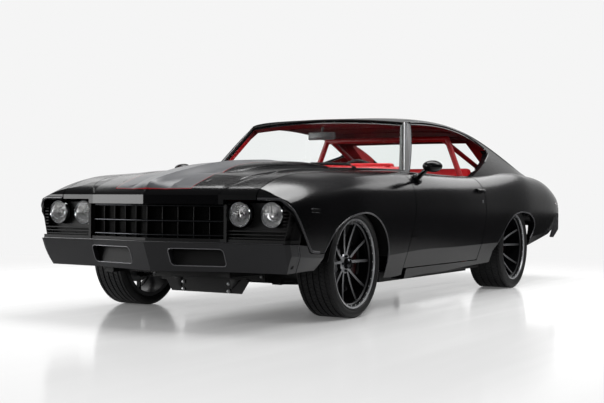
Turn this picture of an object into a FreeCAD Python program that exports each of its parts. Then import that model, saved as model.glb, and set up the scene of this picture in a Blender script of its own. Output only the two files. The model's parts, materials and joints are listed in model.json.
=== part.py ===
import FreeCAD
import Part
import math
import os
from FreeCAD import Vector as V

# Millimetres. X to the car's left, Y to its rear, Z up; the origin is on the floor, midway along the car.

# Overall layout
overall_length = 5010.0
front_overhang = 905.0
wheelbase = 2845.0
half_width = 950.0
y_front = -overall_length / 2
y_tail = overall_length / 2
y_front_axle = y_front + front_overhang
y_rear_axle = y_front_axle + wheelbase

# Heights that the body surfaces are drawn from
belt_height = 903.0
roof_height = 1331.0
side_height = 590.0
crease_height = 384.0
rocker_height = 212.0

# Panel seams
panel_gap = 7.0
cowl_gap = 30.0
skin = 10.0
hood_half_width = 692.0
cowl_front = -905.0
door_length = 1320.0
door_bottom = 272.0
y_door_rear = cowl_front + door_length
door_hinge_x = half_width - 14
door_hinge_y = cowl_front + 90
door_hinge_heights = (500.0, 700.0)
hinge_pin_radius = 4.0
strap_lead = 4.4
pin_clearance = 0.1
lid_half_width = 584.0
lid_front = 1770.0
lid_rear = y_tail - 62.0
hood_thickness = 26.0
lid_thickness = 26.0

# Cabin
roof_thickness = 42.0
pillar_depth = 46.0
firewall_thickness = 70.0
floor_height = 240.0
floor_thickness = 12.0
bulkhead_y = 1130.0
boot_floor_height = 500.0

# Wheels and tyres
front_tyre_radius = 328.0
rear_tyre_radius = 342.0
front_tyre_width = 245.0
rear_tyre_width = 295.0
front_tyre_face = 888.0
rear_tyre_face = 900.0
rim_radius = 271.0
rim_wall = 9.0
rim_inset = 9.0
spoke_pairs = 5
front_dish = 62.0
rear_dish = 125.0
disc_radius = 178.0
hub_radius = 62.0

# Steering
kingpin_x = 745.0


def box(x0, x1, y0, y1, z0, z1):
    return Part.makeBox(x1 - x0, y1 - y0, z1 - z0, V(x0, y0, z0))


def cylinder_x(radius, x0, x1, y, z):
    return Part.makeCylinder(radius, x1 - x0, V(x0, y, z), V(1, 0, 0))


def cylinder_z(radius, x, y, z0, z1):
    return Part.makeCylinder(radius, z1 - z0, V(x, y, z0), V(0, 0, 1))


def tube(start, end, radius):
    """A round bar from one point to another."""
    run = end - start
    return Part.makeCylinder(radius, run.Length, start, run)


def bent_tube(points, radius):
    """A round bar along a path, mitred at its bends."""
    path = Part.makePolygon(points)
    ring = Part.Wire(Part.Circle(points[0], points[1] - points[0], radius).toShape())
    return path.makePipeShell([ring], True, False, 1)


def mirrored(shape):
    return shape.mirror(V(0, 0, 0), V(1, 0, 0))


def fused(shapes):
    """One solid from several that touch or overlap."""
    first = shapes[0]
    return first.multiFuse(shapes[1:]).removeSplitter() if len(shapes) > 1 else first


def main_solid(shape):
    """The largest solid of a cut, without the slivers beside it."""
    return max(shape.Solids, key=lambda s: s.Volume)


def prism_x(points, x0, x1):
    """A prism along X with a straight-sided outline in the YZ plane."""
    wire = Part.makePolygon([V(x0, y, z) for y, z in points + points[:1]])
    return Part.Face(wire).extrude(V(x1 - x0, 0, 0))


def prism_z(points, z0, z1):
    """A prism along Z with a straight-sided outline in plan."""
    wire = Part.makePolygon([V(x, y, z0) for x, y in points + points[:1]])
    return Part.Face(wire).extrude(V(0, 0, z1 - z0))


def spline(points):
    """A smooth edge whose knots lie at even steps, so that neighbouring sections match."""
    steps = [i / (len(points) - 1) for i in range(len(points))]
    curve = Part.BSplineCurve()
    curve.interpolate(Points=points, Parameters=steps)
    return curve.toShape()


# The lower body: half-width, drop of the centre of the top above its inner edge, and heights, station by station.
# Each row: y, half-width less than the widest, inner edge height over the belt, centre over the inner edge,
# drop to the outer shoulder points, crease over its mean height, bottom over the rocker.
BODY_STATIONS = [
    (y_front - 30, 88, -184, 18, (13, 35, 60), 36, 80),
    (y_front + 105, 48, -141, 30, (18, 46, 78), 21, 86),
    (y_front + 355, 18, -63, 6, (31, 72, 125), 1, 98),
    (y_front + 655, 6, -34, 6, (28, 66, 130), -12, 80),
    (y_front_axle, 0, -18, 6, (21, 64, 137), -18, 28),
    (y_front_axle + 350, 2, -8, 7, (17, 68, 146), -19, -24),
    (cowl_front, 2, 2, 14, (16, 71, 159), -6, -16),
    (cowl_front + 605, -2, 0, 20, (10, 65, 153), 0, 0),
    (y_door_rear, -2, 0, 22, (10, 65, 153), 4, 20),
    (y_rear_axle - 395, 0, 20, 10, (9, 63, 162), 7, 34),
    (y_rear_axle, -3, 46, 0, (8, 67, 182), 16, 78),
    (y_rear_axle + 405, 2, 49, 10, (20, 82, 197), 36, 130),
    (y_tail - 455, 18, 35, 12, (26, 93, 198), 66, 166),
    (y_tail - 155, 38, -13, 14, (22, 85, 175), 91, 188),
    (y_tail + 20, 62, -58, 17, (20, 80, 155), 106, 198),
]
inner_edge_x = 695.0
shoulder_insets = (115.0, 45.0, 8.0)
crease_inset = 18.0
bottom_inset = 68.0


def body_section(station, inset):
    """The closed outline of the lower body at one station, moved inwards by the inset."""
    y, narrower, rise, crown, drops, crease, bottom = station
    w = half_width - narrower
    edge_z = belt_height + rise - inset
    crease_z = crease_height + crease
    bottom_z = rocker_height + bottom - (60 if inset else 0)
    shoulder = [
        (w - dx - inset * share, edge_z - dz)
        for dx, dz, share in zip(shoulder_insets, drops, (0.35, 0.75, 1.0))
    ]
    side = [(w - crease_inset - inset, crease_z), (w - inset, side_height)]
    side += [shoulder[2], shoulder[1], shoulder[0], (inner_edge_x, edge_z)]
    top = [(inner_edge_x * k, edge_z + crown * (1 - k * k)) for k in (1, 0.5, 0, -0.5, -1)]
    low = (w - bottom_inset - inset, bottom_z)
    edges = [Part.makeLine(V(-low[0], y, low[1]), V(low[0], y, low[1]))]
    edges.append(Part.makeLine(V(low[0], y, low[1]), V(side[0][0], y, side[0][1])))
    edges.append(spline([V(x, y, z) for x, z in side]))
    edges.append(spline([V(x, y, z) for x, z in top]))
    edges.append(spline([V(-x, y, z) for x, z in reversed(side)]))
    edges.append(Part.makeLine(V(-side[0][0], y, side[0][1]), V(-low[0], y, low[1])))
    return Part.Wire(edges)


def lower_body(inset=0.0):
    return Part.makeLoft([body_section(s, inset) for s in BODY_STATIONS], True, False)


# The greenhouse. Each row: y, half-width at the belt, half-width at the roof's edge, that edge's height and the
# roof's height at the middle, both under the roof's highest point, and the side's outward bow.
ROOF_STATIONS = [
    (cowl_front - 145, 812, 664, 190, 150, 12),
    (cowl_front + 205, 822, 651, 115, 75, 14),
    (cowl_front + 505, 829, 643, 72, 27, 14),
    (cowl_front + 805, 833, 640, 55, 5, 14),
    (cowl_front + 1155, 836, 640, 51, 0, 14),
    (cowl_front + 1505, 838, 636, 66, 17, 12),
    (cowl_front + 1805, 843, 626, 95, 48, 8),
    (cowl_front + 2105, 848, 616, 136, 95, 2),
    (cowl_front + 2405, 846, 642, 214, 178, -4),
    (cowl_front + 2705, 832, 690, 318, 296, -4),
    (cowl_front + 3005, 800, 722, 402, 392, 0),
]
greenhouse_base = belt_height - 33.0


def roof_section(station, inset):
    """The closed outline of the greenhouse at one station, moved inwards by the inset."""
    y, belt_x, edge_x, edge_drop, mid_drop, bow = station
    edge_z = roof_height - edge_drop - inset * 0.6
    mid_z = roof_height - mid_drop - inset
    rise = mid_z - edge_z
    base = V(belt_x - inset, y, greenhouse_base)
    edge = V(edge_x - inset * 0.8, y, edge_z)
    waist = (base + edge) * 0.5 + V(bow, 0, 0)
    half = [(1.0, 0.0), (0.93, 0.52), (0.62, 0.88), (0.0, 1.0)]
    half += [(-k, h) for k, h in reversed(half[:3])]
    roof = [V(edge.x * k, y, edge_z + rise * h) for k, h in half]
    flip = [V(-p.x, p.y, p.z) for p in (edge, waist, base)]
    edges = [Part.makeLine(flip[2], base), spline([base, waist, edge]), spline(roof), spline(flip)]
    return Part.Wire(edges)


def greenhouse(inset=0.0):
    rows = ROOF_STATIONS[:-1] if inset else ROOF_STATIONS
    return Part.makeLoft([roof_section(s, inset) for s in rows], True, False)


# Glass planes, each as the corner and the middle of its lower and upper edge.
screen_low_corner = V(778, cowl_front + 212, belt_height + 2)
screen_low_middle = V(0, cowl_front + 62, belt_height + 20)
screen_top_corner = V(636, cowl_front + 528, roof_height - 64)
screen_top_middle = V(0, cowl_front + 468, roof_height - 32)
rear_glass_low_corner = V(592, cowl_front + 2515, belt_height + 57)
rear_glass_low_middle = V(0, cowl_front + 2565, belt_height + 61)
rear_glass_top_corner = V(560, cowl_front + 1960, roof_height - 84)
rear_glass_top_middle = V(0, cowl_front + 2000, roof_height - 78)
glass_thickness = 6.0


def glass_face(low_corner, low_middle, top_corner, top_middle, shrink_x=0.0, low_trim=0.0, top_trim=0.0):
    """A bowed face between a lower and an upper arc, trimmed in from its sides and its ends."""
    def at(corner, middle, other_corner, other_middle, trim):
        run = (other_corner - corner).Length
        moved_corner = corner + (other_corner - corner) * (trim / run)
        moved_middle = middle + (other_middle - middle) * (trim / run)
        k = (moved_corner.x - shrink_x) / moved_corner.x
        bow = moved_corner - moved_middle
        return V(moved_corner.x - shrink_x, moved_middle.y + bow.y * k * k, moved_middle.z + bow.z * k * k), moved_middle

    low, low_mid = at(low_corner, low_middle, top_corner, top_middle, low_trim)
    top, top_mid = at(top_corner, top_middle, low_corner, low_middle, top_trim)
    low_arc = Part.Arc(V(-low.x, low.y, low.z), low_mid, low).toShape()
    top_arc = Part.Arc(V(-top.x, top.y, top.z), top_mid, top).toShape()
    return Part.makeRuledSurface(low_arc, top_arc)


screen = (screen_low_corner, screen_low_middle, screen_top_corner, screen_top_middle)
rear_glass = (rear_glass_low_corner, rear_glass_low_middle, rear_glass_top_corner, rear_glass_top_middle)
screen_out = V(0, -0.74, 0.67)
rear_out = V(0, 0.46, 0.89)


def widened(plane, grow_x, grow_ends):
    return glass_face(*plane, shrink_x=-grow_x, low_trim=-grow_ends, top_trim=-grow_ends)


# Outlines of the side openings, as (y, z)
window_low_front = (cowl_front + 232, belt_height + 2)
window_top_front = (cowl_front + 600, roof_height - 78)
window_top = [(cowl_front + 940, roof_height - 64), (cowl_front + 1300, roof_height - 69)]
window_top += [(cowl_front + 1650, roof_height - 102), (cowl_front + 1900, roof_height - 148)]
window_rear_top = (cowl_front + 2045, roof_height - 190)
window_low_rear = (cowl_front + 1375, belt_height + 2)


def side_window(x0, x1):
    """The side opening, from the screen pillar to the tip of the quarter window, without its glass."""
    def p(point):
        return V(x0, point[0], point[1])

    top = Part.BSplineCurve()
    top.interpolate([p(window_top_front)] + [p(q) for q in window_top] + [p(window_rear_top)])
    tip = (window_rear_top[0] + 8, window_rear_top[1] - 42)
    tip_arc = Part.Arc(p(window_rear_top), p((window_rear_top[0] + 24, window_rear_top[1] - 22)), p(tip))
    edges = [Part.makeLine(p(window_low_front), p(window_top_front)), top.toShape(), tip_arc.toShape()]
    edges += [Part.makeLine(p(tip), p(window_low_rear)), Part.makeLine(p(window_low_rear), p(window_low_front))]
    return Part.Face(Part.Wire(edges)).extrude(V(x1 - x0, 0, 0))


# Wheel arches
front_arch_length = 368.0
front_arch_rise = 302.0
# The lip ahead of the wheel flares towards the bumper: (ahead of the hub, over the hub)
front_arch_flare = [(459, 81), (421, 127), (383, 173), (339, 208), (291, 236), (242, 258), (180, 279), (104, 295)]
front_arch_foot = (484, -28)


def front_arch(x0, x1):
    """The front wheel opening: flared ahead of the wheel, elliptical behind it, open below."""
    hub = V(x0, y_front_axle, front_tyre_radius)
    points = [hub + V(0, -ahead, over) for ahead, over in front_arch_flare]
    for turn in (0, 12, 25, 38, 52, 66, 80, 92):
        t = math.radians(turn)
        points.append(hub + V(0, front_arch_length * math.sin(t), front_arch_rise * math.cos(t)))
    curve = Part.BSplineCurve()
    curve.interpolate(points)
    foot = hub + V(0, -front_arch_foot[0], front_arch_foot[1])
    corners = [points[-1], V(x0, points[-1].y, 0), V(x0, foot.y, 0), foot, points[0]]
    lines = [Part.makeLine(a, b) for a, b in zip(corners, corners[1:])]
    return Part.Face(Part.Wire([curve.toShape()] + lines)).extrude(V(x1 - x0, 0, 0))


def rear_arch(x0, x1):
    """The rear wheel opening, long towards the door and blunt behind the wheel."""
    outline = [(-470, 395), (-325, 517), (-190, 592), (-20, 622), (150, 620), (310, 590), (392, 530), (385, 460), (330, 400)]
    points = [V(x0, y_rear_axle + dy, z) for dy, z in outline]
    curve = Part.BSplineCurve()
    curve.interpolate(points)
    corners = [points[-1], V(x0, y_rear_axle + 330, 0), V(x0, y_rear_axle - 560, 0), V(x0, y_rear_axle - 560, 330)]
    lines = [Part.makeLine(a, b) for a, b in zip(corners, corners[1:] + points[:1])]
    return Part.Face(Part.Wire([curve.toShape()] + lines)).extrude(V(x1 - x0, 0, 0))


# The nose in plan, a wide V with squared corners: (x, distance behind the bumper's foremost line)
nose_tip = -19.0
nose_break = (451.0, 74.0)
nose_corner = (862.0, 94.0)
nose_turn = (906.0, 124.0)
nose_side = (930.0, 190.0)


def nose_outline(offset, z):
    """The closed plan of everything behind the nose's face, moved back by the offset."""
    def p(point, side=1):
        return V(side * point[0], y_front + point[1] + offset, z)

    tip = V(0, y_front + nose_tip + offset, z)
    wide = half_width + 150
    far = y_tail + 200
    flare = y_front + nose_side[1] + offset + 150
    edges = [Part.makeLine(p(nose_side), V(wide, flare, z)), Part.makeLine(V(wide, flare, z), V(wide, far, z))]
    edges += [Part.makeLine(V(wide, far, z), V(-wide, far, z)), Part.makeLine(V(-wide, far, z), V(-wide, flare, z))]
    edges.append(Part.makeLine(V(-wide, flare, z), p(nose_side, -1)))
    edges.append(Part.Arc(p(nose_side, -1), p(nose_turn, -1), p(nose_corner, -1)).toShape())
    edges += [Part.makeLine(p(nose_corner, -1), p(nose_break, -1)), Part.makeLine(p(nose_break, -1), tip)]
    edges += [Part.makeLine(tip, p(nose_break)), Part.makeLine(p(nose_break), p(nose_corner))]
    edges.append(Part.Arc(p(nose_corner), p(nose_turn), p(nose_side)).toShape())
    return Part.Wire(edges)


def nose_envelope(offset=0.0):
    """Everything behind the nose's pointed face, the face moved back by the offset."""
    return Part.Face(nose_outline(offset, 0)).extrude(V(0, 0, 1500))


# How the top of the nose rounds over behind its lip: (behind the face, height)
NOSE_BROW = [(0, 731), (16, 752), (40, 772), (80, 791), (140, 812), (250, 846), (420, 884)]
NOSE_BROW += [(800, 940), (1400, 1010)]


def rounded_nose(offset=0.0):
    """The nose's envelope with its top edge rounded over, moved back and down by the offset."""
    lip = NOSE_BROW[0][1] - offset
    face = Part.Face(nose_outline(offset, 0)).extrude(V(0, 0, lip))
    brow = Part.makeLoft([nose_outline(offset + back, z - offset) for back, z in NOSE_BROW], True, False)
    return face.fuse(brow)


tail_lean = 40.0


def tail_envelope(offset=0.0):
    """Everything ahead of the tail's face, which leans under towards the bumper."""
    face_y = y_tail - 26 - offset
    corners = [(face_y, belt_height + 100), (face_y - tail_lean, 0), (y_front - 200, 0), (y_front - 200, 1500), (face_y, 1500)]
    return prism_x(corners, -half_width - 150, half_width + 150)


class Surfaces:
    """The outer and inner body surfaces that the panels are cut from."""

    def __init__(self):
        trim = rounded_nose().common(tail_envelope())
        self.outer = lower_body().common(trim)
        self.skinned = lower_body(skin).common(rounded_nose(skin)).common(tail_envelope(skin))
        self.flanged = lower_body(15.0)
        self.roof_outer = greenhouse()
        self.roof_inner = greenhouse(roof_thickness)
        ahead = widened(screen, 260, 300)
        behind = widened(rear_glass, 200, 260)
        self.ahead_of_screen = ahead.extrude(screen_out * 900)
        self.behind_rear_glass = behind.extrude(rear_out * 700)
        inner_ahead = ahead.copy()
        inner_ahead.translate(screen_out * -pillar_depth)
        inner_behind = behind.copy()
        inner_behind.translate(rear_out * -pillar_depth)
        self.inner_ahead = inner_ahead.extrude(screen_out * 900)
        self.inner_behind = inner_behind.extrude(rear_out * 700)


def rear_cutter(surfaces):
    """The well between the sail panels, above the rear glass and the deck."""
    well = rear_glass_low_corner.x
    sides = box(-well, well, rear_glass_top_corner.y, y_tail, 0, roof_height + 100)
    return surfaces.behind_rear_glass.common(sides)



# Half-widths of the cabin air under the belt and the sill
trim_x = 770.0
cabin_x = 836.0
sill_x = 790.0


def side_band(x_out):
    """The region from a door's inner face outwards."""
    profile = [(trim_x, belt_height + 60), (trim_x, belt_height - 10), (cabin_x, belt_height - 103), (cabin_x, 150)]
    corners = profile + [(x_out, 150), (x_out, belt_height + 60)]
    wire = Part.makePolygon([V(x, -2000, z) for x, z in corners + corners[:1]])
    return Part.Face(wire).extrude(V(0, 4000, 0))


def cabin_space(surfaces):
    """The air inside the cabin, under the belt and under the roof."""
    front = cowl_front + firewall_thickness
    corners = [(trim_x, belt_height + 60), (trim_x, belt_height - 10), (cabin_x, belt_height - 103)]
    corners += [(cabin_x, floor_height + floor_thickness)]
    corners += [(-x, z) for x, z in reversed(corners)]
    wire = Part.makePolygon([V(x, front, z) for x, z in corners + corners[:1]])
    below = Part.Face(wire).extrude(V(0, bulkhead_y - front, 0))
    below = below.cut(surfaces.inner_ahead)
    above = surfaces.roof_inner.cut(surfaces.inner_ahead).cut(surfaces.inner_behind)
    shelf_end = rear_glass_low_middle.y - 60
    above = above.common(box(-1000, 1000, front, shelf_end, belt_height - 3, 2000))
    return below, above


# Doors
door_top = belt_height + 14
door_front_low = cowl_front - 55
door_outline = [
    (cowl_front + 55, door_top),
    (cowl_front + 43, side_height + 30),
    (cowl_front - 42, crease_height),
    (door_front_low, door_bottom),
    (y_door_rear - 38, door_bottom),
    (y_door_rear - 33, crease_height + 26),
    (y_door_rear + 15, side_height + 30),
    (y_door_rear - 5, door_top),
]
screen_foot_x = 826.0
screen_foot_end = cowl_front + 270


def grown(outline, gap):
    """A door outline grown by the gap, front and rear edges along Y and the bottom along Z."""
    middle = cowl_front + door_length / 2
    points = []
    for y, z in outline:
        dz = -gap if z <= door_bottom + 1 else gap
        points.append((y + (gap if y > middle else -gap), z + (dz if z <= door_bottom + 1 or z >= door_top else 0)))
    return points


def door_prism():
    """The door's outline from its skin inwards, its rear edge running forwards so that it clears the post."""
    taper = 0.07
    near, far = 700.0, half_width + 30
    middle = cowl_front + door_length / 2
    outer = [V(far, y, z) for y, z in door_outline]
    inner = [V(near, y - (taper * (far - near) if y > middle else 0), z) for y, z in door_outline]
    wires = [Part.makePolygon(points + points[:1]) for points in (outer, inner)]
    return Part.makeLoft(wires, True, True)


def hinge_pocket(z):
    return box(600, door_hinge_x + 5, door_front_low - 20, door_hinge_y + 14, z - 26, z + 26)


def door_left(surfaces):
    door = surfaces.outer.common(door_prism()).common(side_band(half_width + 60))
    door = door.cut(box(600, screen_foot_x, -2000, screen_foot_end, belt_height - 130, 1000))
    flange = surfaces.flanged.common(box(600, 1000, -2000, door_hinge_y - 20, 0, 1000))
    door = door.cut(flange)
    for z in door_hinge_heights:
        door = door.cut(hinge_pocket(z))
        door = door.cut(cylinder_z(hinge_pin_radius + pin_clearance, door_hinge_x, door_hinge_y, z - 46, z + 46))
    handle_y = y_door_rear - 90
    grip = box(half_width - 60, half_width + 3, handle_y - 75, handle_y + 75, belt_height - 122, belt_height - 98)
    grip = grip.makeFillet(8, [e for e in grip.Edges if e.BoundBox.XMin > half_width - 1])
    return fused([door, grip.cut(surfaces.flanged)])


def door_opening():
    """What the body shell gives up for the left door."""
    outline = grown(door_outline, panel_gap)
    ahead = prism_x(outline, screen_foot_x - panel_gap, half_width + 60)
    behind = prism_x(outline, 680, half_width + 60)
    behind = behind.common(box(600, 1100, screen_foot_end - panel_gap, 2000, 0, 2000))
    reach = door_hinge_y - door_front_low + 14
    sweep = cylinder_z(reach, door_hinge_x, door_hinge_y, door_bottom - panel_gap, belt_height - 130)
    return ahead.fuse(behind).fuse(sweep)


def door_hinges():
    """The two straps of the left door's hinges with their pins, carried by the pillar."""
    foot = door_hinge_x - (door_hinge_y - door_front_low) - 29
    straps = []
    for z in door_hinge_heights:
        strap = box(foot, door_hinge_x, door_hinge_y - strap_lead, door_hinge_y + 8, z - 12, z + 12)
        strap = strap.fuse(box(foot, foot + 13, door_hinge_y - 50, door_hinge_y + 8, z - 12, z + 12))
        pin = cylinder_z(hinge_pin_radius, door_hinge_x, door_hinge_y, z - 40, z + 40)
        straps.append(fused([strap, pin]))
    return straps


# Bonnet
hood_rear_corner = cowl_front + 92
hood_rear_middle = cowl_front - 10
hinge_setback = 60.0
hood_hinge_x = 640.0
hood_hinge_y = hood_rear_corner - hinge_setback
hood_hinge_z = belt_height - 11
lip_bottom = 679.0


def hood_plan(gap, rear_gap=0.0):
    """The bonnet's plan, grown at its sides by one gap and at its rear edge by another."""
    w = hood_half_width + gap
    corner_y = hood_rear_corner + rear_gap
    rear = Part.Arc(V(w, corner_y, 0), V(0, hood_rear_middle + rear_gap, 0), V(-w, corner_y, 0))
    corners = [V(-w, corner_y, 0), V(-w, y_front - 50, 0), V(w, y_front - 50, 0), V(w, corner_y, 0)]
    edges = [rear.toShape()] + [Part.makeLine(a, b) for a, b in zip(corners, corners[1:])]
    return Part.Face(Part.Wire(edges)).extrude(V(0, 0, 1200))


# The bonnet's flat middle between two crisp creases: y, half-width, height of the crease over the belt, crown
PLATEAU_STATIONS = [
    (y_front - 40, 476, -184, 6),
    (y_front + 21, 480, -161, 14),
    (y_front + 128, 482, -117, 24),
    (y_front + 353, 486, -56, 16),
    (y_front + 650, 492, -21, 10),
    (y_front_axle - 30, 496, -4, 8),
    (y_front_axle + 312, 502, 8, 8),
    (cowl_front - 150, 510, 14, 9),
    (cowl_front + 100, 516, 14, 10),
]
plateau_slope = 64.0

# The raised centre: y, half-width at its foot, half-width of its top, height of its ridge over the belt
DOME_STATIONS = [
    (y_front - 60, 120, 30, -222),
    (y_front + 5, 170, 42, -148),
    (y_front + 44, 206, 58, -104),
    (y_front + 81, 226, 76, -90),
    (y_front + 194, 264, 120, -61),
    (y_front + 431, 322, 186, -14),
    (y_front + 640, 334, 222, 21),
    (y_front + 861, 345, 244, 47),
    (y_front_axle + 225, 350, 256, 62),
    (cowl_front - 200, 354, 262, 68),
    (cowl_front + 60, 356, 264, 70),
]
dome_rear = cowl_front - 24
dome_stand = 18.0
dome_crest = 7.0


def raised_section(y, ridge_points, foot, creased=False):
    """A closed section with straight flanks, under one smooth top or two halves that meet in a crease."""
    top = [V(x, y, h) for x, h in ridge_points]
    across = [V(-p.x, y, p.z) for p in reversed(top)]
    foot_x, foot_z = foot
    low = foot_z - 90
    outline = [(-foot_x, foot_z), (-foot_x, low), (foot_x, low), (foot_x, foot_z)]
    corners = [across[-1]] + [V(x, y, h) for x, h in outline] + [top[0]]
    edges = [spline(top), spline(across)] if creased else [spline(top + across[1:])]
    edges += [Part.makeLine(a, b) for a, b in zip(corners, corners[1:])]
    return Part.Wire(edges)


def plateau_section(station):
    y, width, rise, crown = station
    z = belt_height + rise
    ridge = [(width * k, z + crown * (1 - k * k)) for k in (1, 0.5, 0)]
    return raised_section(y, ridge, (width + plateau_slope, z - 40))


def dome_section(station):
    y, foot, top, rise = station
    z = belt_height + rise
    middle = foot - (foot - top) * 0.45
    ridge = [(middle, z - 34), (top, z - 12), (top * 0.5, z - 4), (0, z + dome_crest)]
    return raised_section(y, ridge, (foot, z - 66), creased=True)


def hood(surfaces):
    under = lower_body(hood_thickness).common(rounded_nose(hood_thickness))
    plate = surfaces.outer.cut(under).common(hood_plan(0))
    plate = plate.common(box(-2000, 2000, y_front - 50, 0, lip_bottom, 1200))
    dome = Part.makeLoft([dome_section(s) for s in DOME_STATIONS], True, False)
    dome = dome.common(box(-1000, 1000, -3000, dome_rear, 0, 1300))
    plateau = Part.makeLoft([plateau_section(s) for s in PLATEAU_STATIONS], True, False)
    snout = dome.common(rounded_nose(-dome_stand)).common(nose_envelope())
    raised = plateau.common(rounded_nose()).fuse(snout).common(hood_plan(0)).cut(under)
    raised = raised.common(box(-1000, 1000, y_front - 50, 0, lip_bottom + 12, 1300))
    cover = main_solid(plate.fuse(raised))
    for side in (-1, 1):
        x0, x1 = sorted((side * (grille_half_width + 6), side * 1000))
        cover = cover.cut(box(x0, x1, y_front - 50, y_front + 400, 0, lamp_height + lamp_radius + lamp_brow))
    for x in (-hood_hinge_x, hood_hinge_x):
        cover = cover.cut(box(x - 14, x + 14, hood_hinge_y - 14, hood_hinge_y + 40, 0, hood_hinge_z + 9))
        cover = cover.cut(hinge_bar(x, hood_hinge_y, hood_hinge_z, hinge_pin_radius + pin_clearance, 34))
    return cover


def hinge_bar(x, y, z, radius, reach):
    return cylinder_x(radius, x - reach, x + reach, y, z)


def hood_posts():
    posts = []
    for x in (-hood_hinge_x, hood_hinge_x):
        post = box(x - 8, x + 8, hood_hinge_y - 7, hood_hinge_y + 7, hood_hinge_z - 100, hood_hinge_z)
        eye = cylinder_x(7, x - 8, x + 8, hood_hinge_y, hood_hinge_z)
        posts.append(fused([post, eye, hinge_bar(x, hood_hinge_y, hood_hinge_z, hinge_pin_radius, 30)]))
    return posts


# Boot lid
lid_hinge_x = 480.0
lid_hinge_y = lid_front + 45
lid_hinge_z = belt_height + 40


def lid_plan(gap):
    return box(-lid_half_width - gap, lid_half_width + gap, lid_front - gap, lid_rear + gap, 500, 1300)


def boot_lid(surfaces):
    lid = surfaces.outer.cut(lower_body(lid_thickness)).common(lid_plan(0))
    for x in (-lid_hinge_x, lid_hinge_x):
        lid = lid.cut(box(x - 14, x + 14, lid_hinge_y - 40, lid_hinge_y + 14, 0, lid_hinge_z + 9))
        lid = lid.cut(hinge_bar(x, lid_hinge_y, lid_hinge_z, hinge_pin_radius + pin_clearance, 34))
    return lid


def lid_arms():
    arms = []
    for x in (-lid_hinge_x, lid_hinge_x):
        arm = box(x - 8, x + 8, lid_front - panel_gap - 26, lid_hinge_y + 7, lid_hinge_z - 84, lid_hinge_z - 64)
        arm = arm.fuse(box(x - 8, x + 8, lid_front - panel_gap - 26, lid_front - panel_gap, lid_hinge_z - 84, lid_hinge_z - 14))
        post = box(x - 8, x + 8, lid_hinge_y - 7, lid_hinge_y + 7, lid_hinge_z - 84, lid_hinge_z)
        eye = cylinder_x(7, x - 8, x + 8, lid_hinge_y, lid_hinge_z)
        arms.append(fused([arm, post, eye, hinge_bar(x, lid_hinge_y, lid_hinge_z, hinge_pin_radius, 30)]))
    return arms


# Fenders
# The front edge of a fender, from the wheel's lip forwards and up to the brow: (behind the nose, height)
FENDER_EDGE = [(500, 408), (316, 412), (290, 421), (224, 508), (167, 570), (95, 662), (62, 705), (-80, 707)]


def fender_left(surfaces):
    sheet = surfaces.outer.cut(surfaces.skinned)
    seam = grown(door_outline, panel_gap)[:4]
    rear = [(seam[0][0], 1100)] + seam + [(seam[3][0], 0), (y_front_axle, 0)]
    edge = [(y_front + back, z) for back, z in FENDER_EDGE]
    front = [(y_front_axle, edge[0][1])] + edge + [(edge[-1][0], 1100)]
    region = prism_x(rear + front, hood_half_width + panel_gap, 1200)
    mouth = box(0, nose_corner[0], y_front - 50, y_front + 160, 0, lamp_height + lamp_radius + lamp_brow)
    return sheet.common(region).cut(front_arch(600, 1200)).cut(mouth)


# Nose
bumper_top = 466.0
bumper_thickness = 38.0
bumper_lean = 0.42
bumper_low = 150.0
bumper_seam = 4.0
slot_inner = 140.0
slot_outer = 471.0
slot_low = 333.0
slot_high = 427.0
slot_corner = 20.0
pocket_depth = 78.0
lamp_radius = 72.0
lamp_height = 625.0
lamp_brow = 8.0
lamp_spots = (563.0, 768.0)
lamp_faces = (y_front + 125, y_front + 131)
grille_half_width = 478.0
grille_bottom = 486.0
slat_pitch = 19.0
slat_height = 6.0
bezel_low_x = 858.0
bezel_high_x = 902.0


def leaned_nose(offset):
    """The nose's envelope under the bumper's top, its face running back towards the floor."""
    drop = (bumper_top + 2 - bumper_low) * bumper_lean
    wires = [nose_outline(offset + drop, bumper_low), nose_outline(offset, bumper_top + 2)]
    return Part.makeLoft(wires, True, True)


def bumper_side():
    """The bumper's outline from the side: under the fender's foot, back to the wheel's lip."""
    corner = FENDER_EDGE[2]
    foot = FENDER_EDGE[1]
    g = bumper_seam
    back = [(corner[0] - 31, bumper_top - 11), (corner[0] - g / 2, corner[1] - g)]
    back += [(foot[0], foot[1] - g), (500, foot[1] - 2 * g)]
    back += [(500, 300), (428, 306), (-80, 288)]
    outline = [(-80, bumper_top), (180, bumper_top - 4)] + back
    return prism_x([(y_front + b, z) for b, z in outline], -1100, 1100)


def bumper_front(surfaces):
    inner = lower_body(bumper_thickness).common(leaned_nose(bumper_thickness))
    face = surfaces.outer.common(leaned_nose(0)).cut(inner).common(bumper_side())
    for side in (-1, 1):
        x0, x1 = sorted((side * slot_inner, side * slot_outer))
        slot = box(x0, x1, y_front - 100, y_front + 300, slot_low, slot_high)
        slot = slot.makeFillet(slot_corner, [e for e in slot.Edges if e.BoundBox.YLength > 100])
        face = face.cut(slot)
    arch = front_arch(600, 1200)
    return main_solid(face.cut(arch).cut(mirrored(arch)))


def nose_band(near, far):
    """A band that follows the nose's plan, between two depths behind its face."""
    return nose_envelope(near).cut(nose_envelope(far))


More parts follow.
